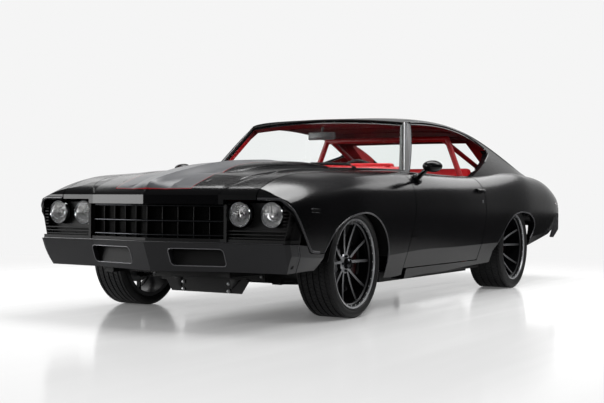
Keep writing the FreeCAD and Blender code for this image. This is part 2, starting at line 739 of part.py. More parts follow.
def nose_panel(surfaces):
    """The panel behind the grille and lamps, with the rings that hold the lamps and slats under and beside them."""
    back = nose_band(pocket_depth, pocket_depth + 14).common(surfaces.skinned)
    back = back.common(box(-905, 905, y_front, y_front + 500, 330, lip_bottom + 8))
    window = box(-grille_half_width + 20, grille_half_width - 20, -3000, 0, grille_bottom + 12, lip_bottom - 12)
    sill = nose_band(20, pocket_depth).common(box(-905, 905, y_front, y_front + 500, bumper_top, grille_bottom))
    pieces = [back.cut(window), sill.common(surfaces.skinned)]
    brow_low = lamp_height + lamp_radius + 1
    post_x = grille_half_width + 10
    for side in (-1, 1):
        x0, x1 = sorted((side * (post_x - 9), side * (post_x + 9)))
        pieces.append(nose_band(14, pocket_depth).common(box(x0, x1, y_front, y_front + 400, bumper_top, lip_bottom)))
        x0, x1 = sorted((side * post_x, side * 880))
        brow = nose_band(26, pocket_depth).common(box(x0, x1, y_front, y_front + 400, brow_low, brow_low + 6))
        pieces.append(brow.common(surfaces.skinned))
        for i in range(10):
            z = grille_bottom + 6 + i * slat_pitch
            inner = post_x if z + slat_height < lamp_height - lamp_radius else lamp_spots[1] + lamp_radius + 4
            outer = bezel_low_x + (bezel_high_x - bezel_low_x) * i / 9
            x0, x1 = sorted((side * inner, side * outer))
            slat = nose_band(24, pocket_depth).common(box(x0, x1, y_front, y_front + 400, z, z + slat_height))
            pieces.append(slat.common(surfaces.skinned))
    panel = fused(pieces)
    for x in lamp_spots:
        for side in (-1, 1):
            panel = panel.cut(Part.makeCylinder(lamp_radius, 400, V(side * x, y_front, lamp_height), V(0, 1, 0)))
    return main_solid(panel)


def headlamps():
    """Four round lamps, each a shallow bowl closed by a domed lens."""
    lamps = []
    for x, face_y in zip(lamp_spots, lamp_faces):
        for side in (-1, 1):
            barrel = Part.makeCylinder(lamp_radius, 74, V(side * x, face_y, lamp_height), V(0, 1, 0))
            lens = Part.makeSphere(220, V(side * x, face_y + 206, lamp_height))
            lens = lens.common(Part.makeCylinder(lamp_radius, 60, V(side * x, face_y - 30, lamp_height), V(0, 1, 0)))
            lamps.append(barrel.fuse(lens).removeSplitter())
    return Part.makeCompound(lamps)


grille_columns = 10


def grille():
    """Horizontal and upright bars over a mesh plate, following the nose."""
    g = grille_half_width
    low, high = grille_bottom, lip_bottom - 2
    bars = [nose_band(60, 68).common(box(-g, g, y_front, y_front + 400, low, high))]
    for z0, z1 in ((low + 12, low + 23), ((low + high) / 2 - 3, (low + high) / 2 + 8), (high - 12, high)):
        bars.append(nose_band(36, 62).common(box(-g, g, y_front, y_front + 400, z0, z1)))
    for i in range(grille_columns + 1):
        x = -g + 4 + (2 * g - 8) * i / grille_columns
        bars.append(nose_band(40, 62).common(box(x - 3.5, x + 3.5, y_front, y_front + 400, low, high)))
    return fused(bars)


# Tail
tail_bumper_top = 611.0
tail_bumper_low = 396.0
tail_bumper_wall = 30.0
tail_wall = 812.0
tail_lamp_low = 552.0
tail_lamp_high = 597.0
# The rear bumper from the side: along the quarter's lower edge, then level round the tail
TAIL_SIDE = [(-311, 404), (-114, tail_bumper_top), (60, tail_bumper_top), (60, 577), (-7, 531), (-290, tail_bumper_low)]


def tail_plan(inset):
    """The rear bumper's plan, moved inwards, as a prism of the bumper's height."""
    width = half_width - 20 - inset
    back = y_tail + 14 - inset
    wrap = y_tail - 330
    z = tail_bumper_low
    right = [V(width, wrap, z), V(width, back - 190, z), V(width - 30, back - 92, z), V(width - 128, back - 42, z)]
    left = [V(-p.x, p.y, p.z) for p in right]
    edges = [
        Part.makeLine(right[0], right[1]),
        Part.Arc(right[1], right[2], right[3]).toShape(),
        Part.Arc(right[3], V(0, back, z), left[3]).toShape(),
        Part.Arc(left[3], left[2], left[1]).toShape(),
        Part.makeLine(left[1], left[0]),
        Part.makeLine(left[0], right[0]),
    ]
    return Part.Face(Part.Wire(edges)).extrude(V(0, 0, tail_bumper_top - tail_bumper_low))


def tail_side(x0, x1):
    return prism_x([(y_tail + back, z) for back, z in TAIL_SIDE], x0, x1)


def bumper_rear():
    """A slim bumper round the tail, its ends sweeping down along the quarters."""
    shell = tail_plan(0).cut(tail_plan(tail_bumper_wall)).common(tail_side(-1100, 1100))
    for side in (-1, 1):
        x0, x1 = sorted((side * 420, side * 830))
        shell = shell.cut(box(x0, x1, y_tail - 120, y_tail + 100, tail_lamp_low, tail_lamp_high))
    return shell


def tail_corner():
    """What the left quarter gives up behind the bumper's swept end."""
    (low_y, low_z), (top_y, top_z) = TAIL_SIDE[:2]
    outline = [(low_y - 10, low_z - 60), (low_y, low_z), (top_y, top_z), (200, top_z), (200, 300)]
    return prism_x([(y_tail + back, z) for back, z in outline], tail_wall, 1100)


def tail_lamps():
    lamps = []
    for side in (-1, 1):
        x0, x1 = sorted((side * 420, side * 830))
        lamps.append(tail_plan(6).common(box(x0, x1, y_tail - 40, y_tail + 40, tail_lamp_low, tail_lamp_high)))
    return Part.makeCompound(lamps)


# Side markers: front and rear end, lower edge
front_marker = (y_front + 280, y_front + 373, 638.0)
rear_marker = (y_tail - 175, y_tail - 95, 686.0)
marker_height = 21.0


def side_marker(surfaces, place):
    """A small lamp set through the left side's skin."""
    y0, y1, z = place
    return surfaces.outer.cut(surfaces.skinned).common(box(700, 1100, y0, y1, z, z + marker_height))


# Running gear
def wheel_cut(axle_y, hub_z, radius, x0, x1):
    """The room round a wheel, from its inner wall out through the skin."""
    room = cylinder_x(radius, x0, x1, axle_y, hub_z)
    below = box(x0, x1, axle_y - radius, axle_y + radius, 0, hub_z)
    return room.fuse(below)


def tyre(radius, width):
    """A low tyre with a rounded shoulder and grooves round its tread, on the X axis from 0 to its width."""
    bead = rim_radius - 17
    wall = radius - rim_radius
    half = width / 2
    points = [(half - 22.5, bead + 0.3), (half - 19.5, rim_radius + 1.5), (half - 11, rim_radius + 2), (half - 4, rim_radius + wall * 0.28)]
    points += [(half, rim_radius + wall * 0.5), (half - 6, radius - 14), (half - 16, radius - 5), (half - 30, radius - 1.5)]
    grooves = []
    step = (half - 42) / 2.0
    for i in (2, 1, 0):
        c = i * step
        grooves += [(c + 5, radius), (c + 4, radius - 7), (c - 4, radius - 7), (c - 5, radius)]
    right = points + grooves[:-2]
    left = [(-x, r) for x, r in reversed(right)]
    corners = [V(half + x, 0, r) for x, r in right + left]
    wire = Part.makePolygon(corners + corners[:1])
    return Part.Face(wire).revolve(V(0, 0, 0), V(1, 0, 0), 360)


def rim(width, dish, bore):
    """A barrel with a stepped lip, five pairs of spokes, a hub and a brake disc, outer flange at the width."""
    seat = rim_radius - 17
    inner = seat - rim_wall
    w = width
    profile = [(0, rim_radius), (6, rim_radius), (9, seat), (w - 9, seat), (w - 6, rim_radius), (w, rim_radius)]
    profile += [(w, rim_radius - 6), (w - 7, rim_radius - 9), (w - 9, rim_radius - 20), (w - 24, rim_radius - 22)]
    profile += [(w - 30, inner - 4), (w - 44, inner - 4), (w - 54, inner), (0, inner)]
    corners = [V(x, 0, r) for x, r in profile]
    barrel = Part.Face(Part.makePolygon(corners + corners[:1])).revolve(V(0, 0, 0), V(1, 0, 0), 360)
    hub_out = w - dish
    hub = [(hub_out - 28, bore), (hub_out - 28, hub_radius), (hub_out - 6, hub_radius), (hub_out, hub_radius - 8)]
    hub += [(hub_out + 2, 34), (hub_out + 22, 30), (hub_out + 26, 20), (hub_out + 26, 0), (hub_out + 8, 0), (hub_out + 8, bore)]
    corners = [V(x, 0, r) for x, r in hub]
    centre = Part.Face(Part.makePolygon(corners + corners[:1])).revolve(V(0, 0, 0), V(1, 0, 0), 360)
    disc = Part.makeCylinder(disc_radius, 18, V(hub_out - 46, 0, 0), V(1, 0, 0))
    disc = disc.cut(Part.makeCylinder(bore, 40, V(hub_out - 50, 0, 0), V(1, 0, 0)))
    pieces = [barrel, centre, disc]
    rim_out = w - 34
    for i in range(2 * spoke_pairs):
        pieces.append(spoke(hub_out, rim_out, inner, 360.0 / spoke_pairs * (i // 2), 1 if i % 2 else -1))
    return fused(pieces)


def spoke(hub_out, rim_out, inner, angle, side):
    """One thin spoke of a pair, hollowed towards the hub, its outer end leaning away from its partner."""
    start, end = hub_radius - 14, inner + 2
    out = []
    for k in (0, 0.2, 0.45, 0.7, 0.88, 1.0):
        rise = k ** 1.7
        out.append(V(hub_out - 2 + (rim_out - hub_out + 2) * rise, 0, start + (end - start) * k))
    back = [V(p.x - 24 - 8 * (1 - i / 5), 0, p.z) for i, p in enumerate(out)]
    edges = [spline(out), Part.makeLine(out[-1], back[-1]), spline(back[::-1]), Part.makeLine(back[0], out[0])]
    blade = Part.Face(Part.Wire(edges)).extrude(V(0, 17, 0))
    blade.translate(V(0, -8.5, 0))
    blade.rotate(V(0, 0, start), V(1, 0, 0), side * 8.0)
    blade.rotate(V(0, 0, 0), V(1, 0, 0), angle + side * 9.5)
    return blade


spindle_radius = 25.0
running_clearance = 0.05


class Wheel:
    """Where one axle's wheels sit: the tyre between two planes, the rim's lip, the hub's outer face."""

    def __init__(self, y, radius, width, face, dish):
        self.y = y
        self.radius = radius
        self.width = width
        self.face = face
        self.lip = face - rim_inset
        self.rim_width = width - 26
        self.dish = dish
        self.hub_face = self.lip - dish
        self.disc_in = self.hub_face - 46
        self.disc_out = self.hub_face - 28

    def place(self, shape, x):
        shape.translate(V(x, self.y, self.radius))
        return shape

    def tyre(self):
        return self.place(tyre(self.radius, self.width), self.lip - self.rim_width - 13 + 0)

    def rim(self):
        return self.place(rim(self.rim_width, self.dish, spindle_radius + running_clearance), self.lip - self.rim_width)

    def spindle(self, x0):
        return cylinder_x(spindle_radius, x0, self.hub_face + 3, self.y, self.radius)

    def caliper(self, side):
        """A caliper over the disc's edge, behind or ahead of the axle."""
        inboard = cylinder_x(disc_radius + 34, self.disc_in - 22, self.disc_in - 6, self.y, self.radius)
        inboard = inboard.cut(cylinder_x(104, self.disc_in - 30, self.disc_out + 30, self.y, self.radius))
        bridge = cylinder_x(disc_radius + 34, self.disc_in - 8, self.disc_out + 10, self.y, self.radius)
        bridge = bridge.cut(cylinder_x(disc_radius + 6, self.disc_in - 10, self.disc_out + 20, self.y, self.radius))
        y0, y1 = sorted((self.y + side * 60, self.y + side * 260))
        sector = box(self.disc_in - 40, self.disc_out + 40, y0, y1, self.radius - 78, self.radius + 78)
        return fused([inboard, bridge]).common(sector)


front = Wheel(y_front_axle, front_tyre_radius, front_tyre_width, front_tyre_face, front_dish)
rear = Wheel(y_rear_axle, rear_tyre_radius, rear_tyre_width, rear_tyre_face, rear_dish)

# Steering pivots and the arms that hold them
kingpin_reach = 118.0
ball_radius = 12.0
post_radius = 19.0
arm_thickness = 20.0
rail_out = 452.0
rail_width = 62.0


def knuckle_left():
    z = front.radius
    post = cylinder_z(post_radius, kingpin_x, front.y, z - kingpin_reach, z + kingpin_reach)
    pins = cylinder_z(ball_radius, kingpin_x, front.y, z - kingpin_reach - 26, z + kingpin_reach + 26)
    carrier = box(front.disc_in - 22, front.disc_in - 6, front.y, front.y + 130, z - 34, z + 34)
    arm = box(kingpin_x - 12, kingpin_x + 12, front.y - 150, front.y, z - 52, z - 34)
    return fused([post, pins, front.spindle(kingpin_x), front.caliper(1), carrier, arm])


def suspension_arm(z, spread):
    """A forked arm from the cross member to the eye round a steering pivot."""
    eye = cylinder_z(ball_radius + 9, kingpin_x, front.y, z, z + arm_thickness)
    legs = []
    for side in (-1, 1):
        a = [(kingpin_x - 8, front.y + side * 6), (kingpin_x - 8, front.y - side * 16)]
        b = [(rail_out - 20, front.y + side * spread), (rail_out - 20, front.y + side * (spread - 34))]
        legs.append(prism_z([a[0], a[1], b[1], b[0]], z + 2, z + arm_thickness - 2))
    bore = cylinder_z(ball_radius + running_clearance, kingpin_x, front.y, z - 20, z + 60)
    return fused([eye] + legs).cut(bore)


def front_suspension():
    """The cross member between the rails with both pairs of arms."""
    z = front.radius
    low = suspension_arm(z - kingpin_reach - arm_thickness, 150)
    high = suspension_arm(z + kingpin_reach, 96)
    tower = box(rail_out - 62, rail_out, front.y - 110, front.y + 110, z - 60, z + kingpin_reach + arm_thickness)
    foot = box(rail_out - 62, rail_out, front.y - 155, front.y + 155, z - kingpin_reach - arm_thickness, z - 58)
    side = fused([low, high, tower, foot])
    beam = box(-rail_out + 30, rail_out - 30, front.y - 70, front.y + 70, z - kingpin_reach - 20, z - 64)
    return fused([side, mirrored(side), beam])


def rear_axle():
    """A live axle: tubes, a round differential housing, spindles, calipers and two trailing arms."""
    tube_end = rear.disc_in - 22
    axle = cylinder_x(42, -tube_end, tube_end, rear.y, rear.radius)
    carrier = cylinder_x(disc_radius - 70, tube_end - 12, tube_end + 16, rear.y, rear.radius)
    half = fused([carrier, rear.spindle(tube_end - 10), rear.caliper(1)])
    outline = [(-150, 0), (-150, 58), (-104, 100), (-44, 126), (44, 126), (104, 100), (150, 58), (150, 0)]
    corners = [V(x, 0, r) for x, r in outline]
    housing = Part.Face(Part.makePolygon(corners + corners[:1])).revolve(V(0, 0, 0), V(1, 0, 0), 360)
    housing.translate(V(0, rear.y, rear.radius))
    nose = Part.makeCylinder(46, 240, V(0, rear.y - 240, rear.radius), V(0, 1, 0))
    arms = []
    for x in (-420, 420):
        arms.append(tube(V(x, rear.y, rear.radius - 10), V(x, kick_y + 79, 282), 18))
        arms.append(tube(V(x, rear.y + 20, rear.radius), V(x, rear.y + 40, floor_rear_height - 8), 34))
    return fused([axle, half, mirrored(half), housing, nose] + arms)


# Frame and floor
floor_rear_height = boot_floor_height
tunnel_height = 404.0
tunnel_half_width = 150.0
kick_y = 760.0
kick_height = 400.0


def rail(points, width, height):
    """A straight-sided rail through its centre points (x, y, z), with square ends."""
    pieces = []
    for (xa, ya, za), (xb, yb, zb) in zip(points, points[1:]):
        wires = []
        for x, y, z in ((xa, ya, za), (xb, yb, zb)):
            w, h = width / 2, height / 2
            c = [V(x - w, y, z - h), V(x + w, y, z - h), V(x + w, y, z + h), V(x - w, y, z + h)]
            wires.append(Part.makePolygon(c + c[:1]))
        pieces.append(Part.makeLoft(wires, True, True))
    return fused(pieces)


# The plate that guards the engine's front: a bar between the rails with a slanted plate bolted under it
guard_y = y_front_axle - 300
guard_half_width = 290.0
guard_low = 135.0
guard_high = 228.0


def guard_plate():
    """The guard's bar, its four bolt heads and its plate, narrower towards the road."""
    top = rail_out - rail_width / 2
    under = front.radius - 72
    bar = box(-top, top, guard_y + 10, guard_y + 50, guard_high - 12, under)
    w = guard_half_width
    outline = [(-w, guard_high), (w, guard_high), (w + 24, guard_high - 12), (w - 30, guard_low)]
    outline += [(-w + 30, guard_low), (-w - 24, guard_high - 12)]
    wire = Part.makePolygon([V(x, guard_y, z) for x, z in outline + outline[:1]])
    pieces = [bar, Part.Face(wire).extrude(V(0, 10, 0))]
    for x in (-170, 170):
        for z in (guard_low + 14, guard_high - 34):
            pieces.append(Part.makeCylinder(10, 16, V(x, guard_y - 6, z), V(0, 1, 0)))
    for x in (-top + 12, top - 12):
        pieces.append(box(x - 12, x + 12, guard_y + 10, guard_y + 50, under - 6, 270))
    return fused(pieces)


def frame():
    x_front = rail_out - rail_width / 2
    path = [(x_front, y_front + 190, 300), (x_front, y_front_axle + 420, 300), (700, cowl_front - 60, 205)]
    path += [(700, kick_y - 180, 205), (610, kick_y - 16, 205), (530, kick_y + 120, 300), (505, bulkhead_y, 358)]
    path += [(500, y_rear_axle - 40, 438), (500, y_tail - 190, 438)]
    side = rail(path, rail_width, 68)
    bars = [box(-x_front, x_front, y_front + 260, y_front + 330, 272, 328)]
    bars.append(box(-700, 700, cowl_front + 480, cowl_front + 540, floor_height - 12, floor_height))
    bars.append(box(-560, 560, kick_y + 40, kick_y + 80, 262, 300))
    bars.append(box(-500, 500, y_tail - 320, y_tail - 260, 415, boot_floor_height))
    return fused([side, mirrored(side)] + bars + [guard_plate()])


def tunnel_room():
    """The space under the floor's tunnel."""
    t = floor_thickness
    return box(-tunnel_half_width + t, tunnel_half_width - t, cowl_front - 10, bulkhead_y, 0, tunnel_height - t)


def floor_pan():
    """The low floor with its tunnel, the step under the rear seat and the boot's floor."""
    t = floor_thickness
    front = cowl_front + firewall_thickness
    low = box(-sill_x, sill_x, front, kick_y, floor_height, floor_height + t)
    tunnel = box(-tunnel_half_width, tunnel_half_width, front, bulkhead_y, floor_height, tunnel_height)
    kick = box(-cabin_x, cabin_x, kick_y - t, kick_y, floor_height + t, kick_height + t)
    kick = kick.fuse(box(-sill_x, sill_x, kick_y - t, kick_y, floor_height, kick_height))
    step = box(-cabin_x, cabin_x, kick_y - t, bulkhead_y, kick_height, kick_height + t)
    riser = box(-sill_x, sill_x, bulkhead_y - t, bulkhead_y, kick_height, boot_floor_height)
    high = box(-590, 590, bulkhead_y - t, lid_rear - 10, boot_floor_height, boot_floor_height + t)
    pan = fused([low, tunnel, kick, step, riser, high]).cut(tunnel_room())
    for side in (-1, 1):
        x0, x1 = sorted((side * 585, side * 1000))
        pan = pan.cut(wheel_cut(rear.y, rear.radius, rear.radius + 34, x0, x1))
    return pan


def inner_fender():
    """The curved liner over a front wheel with its inner wall."""
    r = front.radius + 62
    x0 = rail_out + 8
    skin_out = cylinder_x(r, x0, 930, front.y, front.radius)
    skin_in = cylinder_x(r - 6, x0 + 6, 1000, front.y, front.radius)
    arc = skin_out.cut(skin_in).common(box(0, 1000, -3000, 0, front.radius + 30, 2000))
    apron = box(x0, x0 + 6, front.y - r - 20, cowl_front, front.radius + 30, belt_height - 90)
    apron = apron.cut(cylinder_x(r - 6, 0, 1000, front.y, front.radius))
    return fused([arc, apron]).common(lower_body(14.0))


# Cabin furniture
column_tilt = 20.0
wheel_centre = V(352, cowl_front + 408, 826)
steering_radius = 185.0
shaft_radius = 10.0


def column_way():
    t = math.radians(column_tilt)
    return V(0, -math.cos(t), -math.sin(t))


def dashboard(surfaces):
    y = cowl_front + firewall_thickness
    profile = [(y, 690), (y + 225, 640), (y + 262, 700), (y + 250, 896), (y + 215, 944), (y + 140, 944), (y + 40, 902), (y, 880)]
    pad = prism_x(profile, -trim_x + 12, trim_x - 12).cut(surfaces.inner_ahead)
    way = column_way()
    column = tube(wheel_centre + way * 40, wheel_centre + way * 330, 30)
    shaft = tube(wheel_centre - way * 12, wheel_centre + way * 45, shaft_radius)
    return fused([pad, column, shaft])


def steering_wheel():
    way = column_way()
    ring = Part.makeTorus(steering_radius - 14, 14, wheel_centre, way)
    hub = Part.makeCylinder(46, 34, wheel_centre - way * 12, way)
    spokes = []
    for angle in (90, 210, 330):
        bar = box(-17, 17, 20, steering_radius - 14, -4, 4)
        bar.rotate(V(0, 0, 0), V(0, 0, 1), angle)
        bar.rotate(V(0, 0, 0), V(1, 0, 0), 90 + column_tilt)
        bar.translate(wheel_centre)
        spokes.append(bar)
    bore = Part.makeCylinder(shaft_radius + running_clearance, 80, wheel_centre - way * 20, way)
    return fused([ring, hub] + spokes).cut(bore)


seat_inner_x = tunnel_half_width + 6


def seat_left():
    y = cowl_front + 690
    z = floor_height + floor_thickness
    side = [(y, z), (y - 10, z + 190), (y + 40, z + 215), (y + 470, z + 180), (y + 590, z + 660)]
    side += [(y + 640, z + 690), (y + 690, z + 668), (y + 610, z + 140), (y + 560, z)]
    seat = prism_x(side, seat_inner_x, seat_inner_x + 490)
    hollow = [(y + 60, z + 240), (y + 60, z + 195), (y + 455, z + 150), (y + 580, z + 600), (y + 560, z + 720), (y + 200, z + 700)]
    return seat.cut(prism_x(hollow, seat_inner_x + 80, seat_inner_x + 410))


def rear_seat(surfaces):
    y = bulkhead_y
    z = kick_height + floor_thickness
    side = [(y - 480, z), (y - 490, z + 90), (y - 450, z + 125), (y - 160, z + 95), (y - 100, z + 410), (y - 50, z + 450), (y, z + 450), (y, z)]
    return prism_x(side, -590, 590).cut(surfaces_under_shelf())


def surfaces_under_shelf():
    return box(-1000, 1000, bulkhead_y - floor_thickness, bulkhead_y + 50, 0, boot_floor_height + floor_thickness)


cage_radius = 22.0


def roll_cage(shell):
    y = cowl_front + 1535
    z = floor_height + floor_thickness
    side = [V(700, y, z), V(668, y, 880), V(540, y, 1206)]
    joints = [V(540, y, 1206), V(-540, y, 1206)]
    pieces = [tube(joints[0], joints[1], cage_radius)]
    for sign in (-1, 1):
        points = [V(p.x * sign, p.y, p.z) for p in side]
        pieces += [tube(a, b, cage_radius) for a, b in zip(points, points[1:])]
        pieces += [Part.makeSphere(cage_radius, p) for p in points[1:]]
        pieces.append(tube(V(500 * sign, y, 1206), V(585 * sign, y + 1020, 880), cage_radius - 3))
    cage = fused(pieces).common(box(-1000, 1000, 0, 3000, z, 2000))
    return main_solid(cage.cut(shell))


def console():
    y = cowl_front + 470
    block = box(-82, 82, y, y + 640, tunnel_height, tunnel_height + 62)
    lever = tube(V(0, y + 150, tunnel_height + 50), V(0, y + 190, tunnel_height + 230), 8)
    knob = Part.makeSphere(24, V(0, y + 191, tunnel_height + 240))
    return fused([block, lever, knob])


def rear_view_mirror(shell):
    y = cowl_front + 455
    glass = box(-108, 108, y, y + 20, 1152, 1206)
    glass = glass.makeFillet(8, [e for e in glass.Edges if abs(e.BoundBox.XLength) < 1 and e.BoundBox.YLength > 10])
    stalk = tube(V(0, y + 10, 1190), V(0, y + 34, 1340), 7)
    return main_solid(fused([glass, stalk]).cut(shell))


# Heavy and under-floor pieces
pipe_radius = 27.0


def engine():
    z = front.radius - 64
    block = box(-250, 250, front.y - 470, front.y + 430, z, z + 500)
    gearbox = box(-108, 108, front.y + 430, cowl_front + 535, floor_height, 372)
    return fused([block, gearbox])


def drive_shaft():
    z0 = 300
    start = V(0, cowl_front + 537, z0)
    return tube(start, V(0, rear.y - 240, rear.radius), 34)


def radiator():
    return box(-340, 340, y_front + 262, y_front + 322, 328, 700)


def fuel_tank():
    tank = box(-320, 320, y_tail - 860, y_tail - 350, 330, boot_floor_height)
    return tank.makeFillet(30, [e for e in tank.Edges if e.BoundBox.ZMax < 331 or e.BoundBox.ZLength > 100])


def exhaust():
    """Two pipes from the engine to the tail, a silencer on each and a pipe between them."""
    low = 195.0
    ahead = [V(236, front.y + 180, 330), V(300, front.y + 470, 200), V(300, 340, low)]
    behind = [V(300, 340, low), V(300, rear.y + 255, 200), V(395, rear.y + 560, 378), V(395, y_tail - 20, 384)]
    silencer = box(215, 385, 80, 600, 148, 232)
    side = fused([bent_tube(ahead, pipe_radius).cut(engine()), silencer, bent_tube(behind, pipe_radius)])
    joint = tube(V(-300, 40, low), V(300, 40, low), pipe_radius - 5)
    return fused([side, mirrored(side), joint])


def mirror_left():
    middle = V(half_width + 66, cowl_front + 130, belt_height + 36)
    rings = []
    for dy, rx, rz in ((-50, 14, 9), (-42, 34, 21), (-22, 56, 33), (4, 66, 38), (24, 66, 39)):
        ring = Part.Ellipse(V(0, 0, 0), rx, rz).toShape()
        wire = Part.Wire(ring)
        wire.rotate(V(0, 0, 0), V(1, 0, 0), 90)
        wire.translate(middle + V(0, dy, 0))
        rings.append(wire)
    bowl = Part.makeLoft(rings, True, False)
    stem = tube(V(half_width - 62, cowl_front + 150, belt_height - 44), V(half_width + 50, cowl_front + 128, belt_height + 26), 11)
    base = cylinder_x(34, half_width - 120, half_width - 36, cowl_front + 152, belt_height - 52)
    return fused([bowl, stem, base])


def body_shell(surfaces, fenders, bumper, lamps, panes):
    roof = surfaces.roof_outer.cut(surfaces.ahead_of_screen).cut(rear_cutter(surfaces))
    low = surfaces.outer.common(box(-1100, 1100, cowl_front, y_tail + 50, 0, 1200))
    shell = low.fuse(roof)
    below, above = cabin_space(surfaces)
    cuts = [below, above]
    cuts.append(hood_plan(panel_gap, cowl_gap).common(box(-1000, 1000, -2000, 0, hood_hinge_z - 77, 1300)))
    for side in (1, -1):
        x0, x1 = sorted((side * 500, side * 1100))
        opening = door_opening()
        cuts.append(opening if side > 0 else mirrored(opening))
        cuts.append(side_window(x0, x1))
        x0, x1 = sorted((side * 590, side * 1100))
        cuts.append(wheel_cut(rear.y, rear.radius, rear.radius + 34, x0, x1).common(surfaces.skinned))
        x0, x1 = sorted((side * 700, side * 1100))
        cuts.append(rear_arch(x0, x1))
    cuts.append(box(-sill_x, sill_x, -3000, bulkhead_y, 0, floor_height + floor_thickness))
    cuts.append(box(-880, 880, bulkhead_y - floor_thickness, 3000, 0, boot_floor_height + floor_thickness))
    boot = box(-590, 590, bulkhead_y + 14, lid_rear - 10, boot_floor_height - 10, 1300)
    boot = boot.fuse(box(-800, 800, rear.y + 440, lid_rear - 10, boot_floor_height - 10, 1300))
    cuts.append(boot.common(lower_body(30.0)))
    cuts.append(lid_plan(panel_gap))
    for glass, rebate, hole in panes:
        cuts += [rebate, hole]
    cuts.append(tunnel_room())
    cuts += fenders + [bumper, lamps, tail_corner(), mirrored(tail_corner())]
    for cut in cuts:
        shell = shell.cut(cut)
    shell = main_solid(shell)
    for extra in door_hinges() + [mirrored(h) for h in door_hinges()] + hood_posts() + lid_arms():
        shell = shell.fuse(extra)
    return main_solid(shell)


def pane(plane, outward):
    """A bowed glass pane in its rebate, with the opening behind it."""
    face = glass_face(*plane, shrink_x=10, low_trim=8, top_trim=10)
    glass = face.extrude(outward * -glass_thickness)
    face.translate(outward * 40)
    rebate = face.extrude(outward * -(40 + glass_thickness))
    hole = glass_face(*plane, shrink_x=34, low_trim=30, top_trim=34)
    return glass, rebate, hole.extrude(outward * -160)


def build():
    surfaces = Surfaces()
    front_light = side_marker(surfaces, front_marker)
    rear_light = side_marker(surfaces, rear_marker)
    fender = fender_left(surfaces).cut(front_light)
    bumper = bumper_rear()
    lamps = Part.makeCompound(tail_lamps().Solids + [rear_light, mirrored(rear_light)])
    screen_pane = pane(screen, screen_out)
    rear_pane = pane(rear_glass, rear_out)
    panes = [screen_pane, rear_pane]
    shell = body_shell(surfaces, [fender, mirrored(fender)], bumper, lamps, panes)
    door = door_left(surfaces)
    knuckle = knuckle_left()
    mirror = main_solid(mirror_left().cut(door))
    chassis = frame()
    suspension = front_suspension().cut(chassis)
    liner = inner_fender().cut(suspension)
    pan = floor_pan().cut(chassis)
    axle = main_solid(rear_axle().cut(chassis).cut(pan))
    face = bumper_front(surfaces)
    parts = {
        "body_shell": shell,
        "floor_pan": pan,
        "frame": chassis,
        "fender_left": fender,
        "fender_right": mirrored(fender),
        "inner_fenders": Part.makeCompound([liner, mirrored(liner)]),
        "bumper_front": face,
        "nose_panel": nose_panel(surfaces).cut(face),
        "grille": grille(),
        "headlamps": Part.makeCompound(headlamps().Solids + [front_light, mirrored(front_light)]),
        "bumper_rear": bumper,
        "tail_lamps": lamps,
        "hood": hood(surfaces),
        "boot_lid": boot_lid(surfaces),
        "door_left": door,
        "door_right": mirrored(door),
        "mirror_left": mirror,
        "mirror_right": mirrored(mirror),
        "windscreen": screen_pane[0],
        "rear_window": rear_pane[0],
        "dashboard": dashboard(surfaces),
        "steering_wheel": steering_wheel(),
        "seat_left": seat_left(),
        "seat_right": mirrored(seat_left()),
        "rear_seat": rear_seat(surfaces),
        "roll_cage": roll_cage(shell),
        "console": console(),
        "rear_view_mirror": rear_view_mirror(shell),
        "engine": engine(),
        "radiator": radiator(),
        "drive_shaft": main_solid(drive_shaft().cut(axle)),
        "fuel_tank": fuel_tank(),
        "exhaust": exhaust(),
        "front_suspension": suspension,
        "rear_axle": axle,
        "knuckle_left": knuckle,
        "knuckle_right": mirrored(knuckle),
    }
    for name, wheel in (("front", front), ("rear", rear)):
        tyre_shape = wheel.tyre()
        rim_shape = wheel.rim()
        parts["tyre_" + name + "_left"] = tyre_shape
        parts["tyre_" + name + "_right"] = mirrored(tyre_shape)
        parts["rim_" + name + "_left"] = rim_shape
        parts["rim_" + name + "_right"] = mirrored(rim_shape)
    return parts


if __name__ == "__main__":
    os.makedirs("parts", exist_ok=True)
    for name, shape in build().items():
        shape.exportStep("parts/" + name + ".step")
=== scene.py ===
"""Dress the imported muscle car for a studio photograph.

The CAD nodes carry the shapes. This script gives them their finishes, adds the trim, tread, lamps and
cabin details that ride on the same bodies, and sets the camera, the light and the floor.
"""
import json
import logging
import math
from dataclasses import dataclass
from enum import Enum
from typing import Any, Iterable, Iterator, Optional, Sequence

import bmesh
import bpy
from mathutils import Matrix, Vector
from mathutils.bvhtree import BVHTree

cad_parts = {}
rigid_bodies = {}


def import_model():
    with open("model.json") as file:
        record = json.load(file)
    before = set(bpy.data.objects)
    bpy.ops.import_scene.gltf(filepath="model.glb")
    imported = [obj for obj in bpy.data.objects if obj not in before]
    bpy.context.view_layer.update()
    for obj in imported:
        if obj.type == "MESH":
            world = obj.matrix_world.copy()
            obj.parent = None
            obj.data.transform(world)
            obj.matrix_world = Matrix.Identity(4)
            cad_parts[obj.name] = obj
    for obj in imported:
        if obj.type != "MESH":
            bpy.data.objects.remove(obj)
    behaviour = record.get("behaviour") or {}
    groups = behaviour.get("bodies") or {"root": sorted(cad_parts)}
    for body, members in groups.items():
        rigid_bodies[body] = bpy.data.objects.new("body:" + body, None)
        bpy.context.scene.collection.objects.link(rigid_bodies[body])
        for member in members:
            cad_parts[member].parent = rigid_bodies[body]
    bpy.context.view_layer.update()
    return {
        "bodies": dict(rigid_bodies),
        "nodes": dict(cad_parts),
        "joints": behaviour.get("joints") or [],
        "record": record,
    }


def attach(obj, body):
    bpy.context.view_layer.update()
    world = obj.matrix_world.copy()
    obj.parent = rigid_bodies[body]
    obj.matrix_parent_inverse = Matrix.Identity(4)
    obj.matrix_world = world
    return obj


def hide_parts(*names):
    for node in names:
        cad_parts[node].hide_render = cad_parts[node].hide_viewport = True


LOG = logging.getLogger("muscle_car")

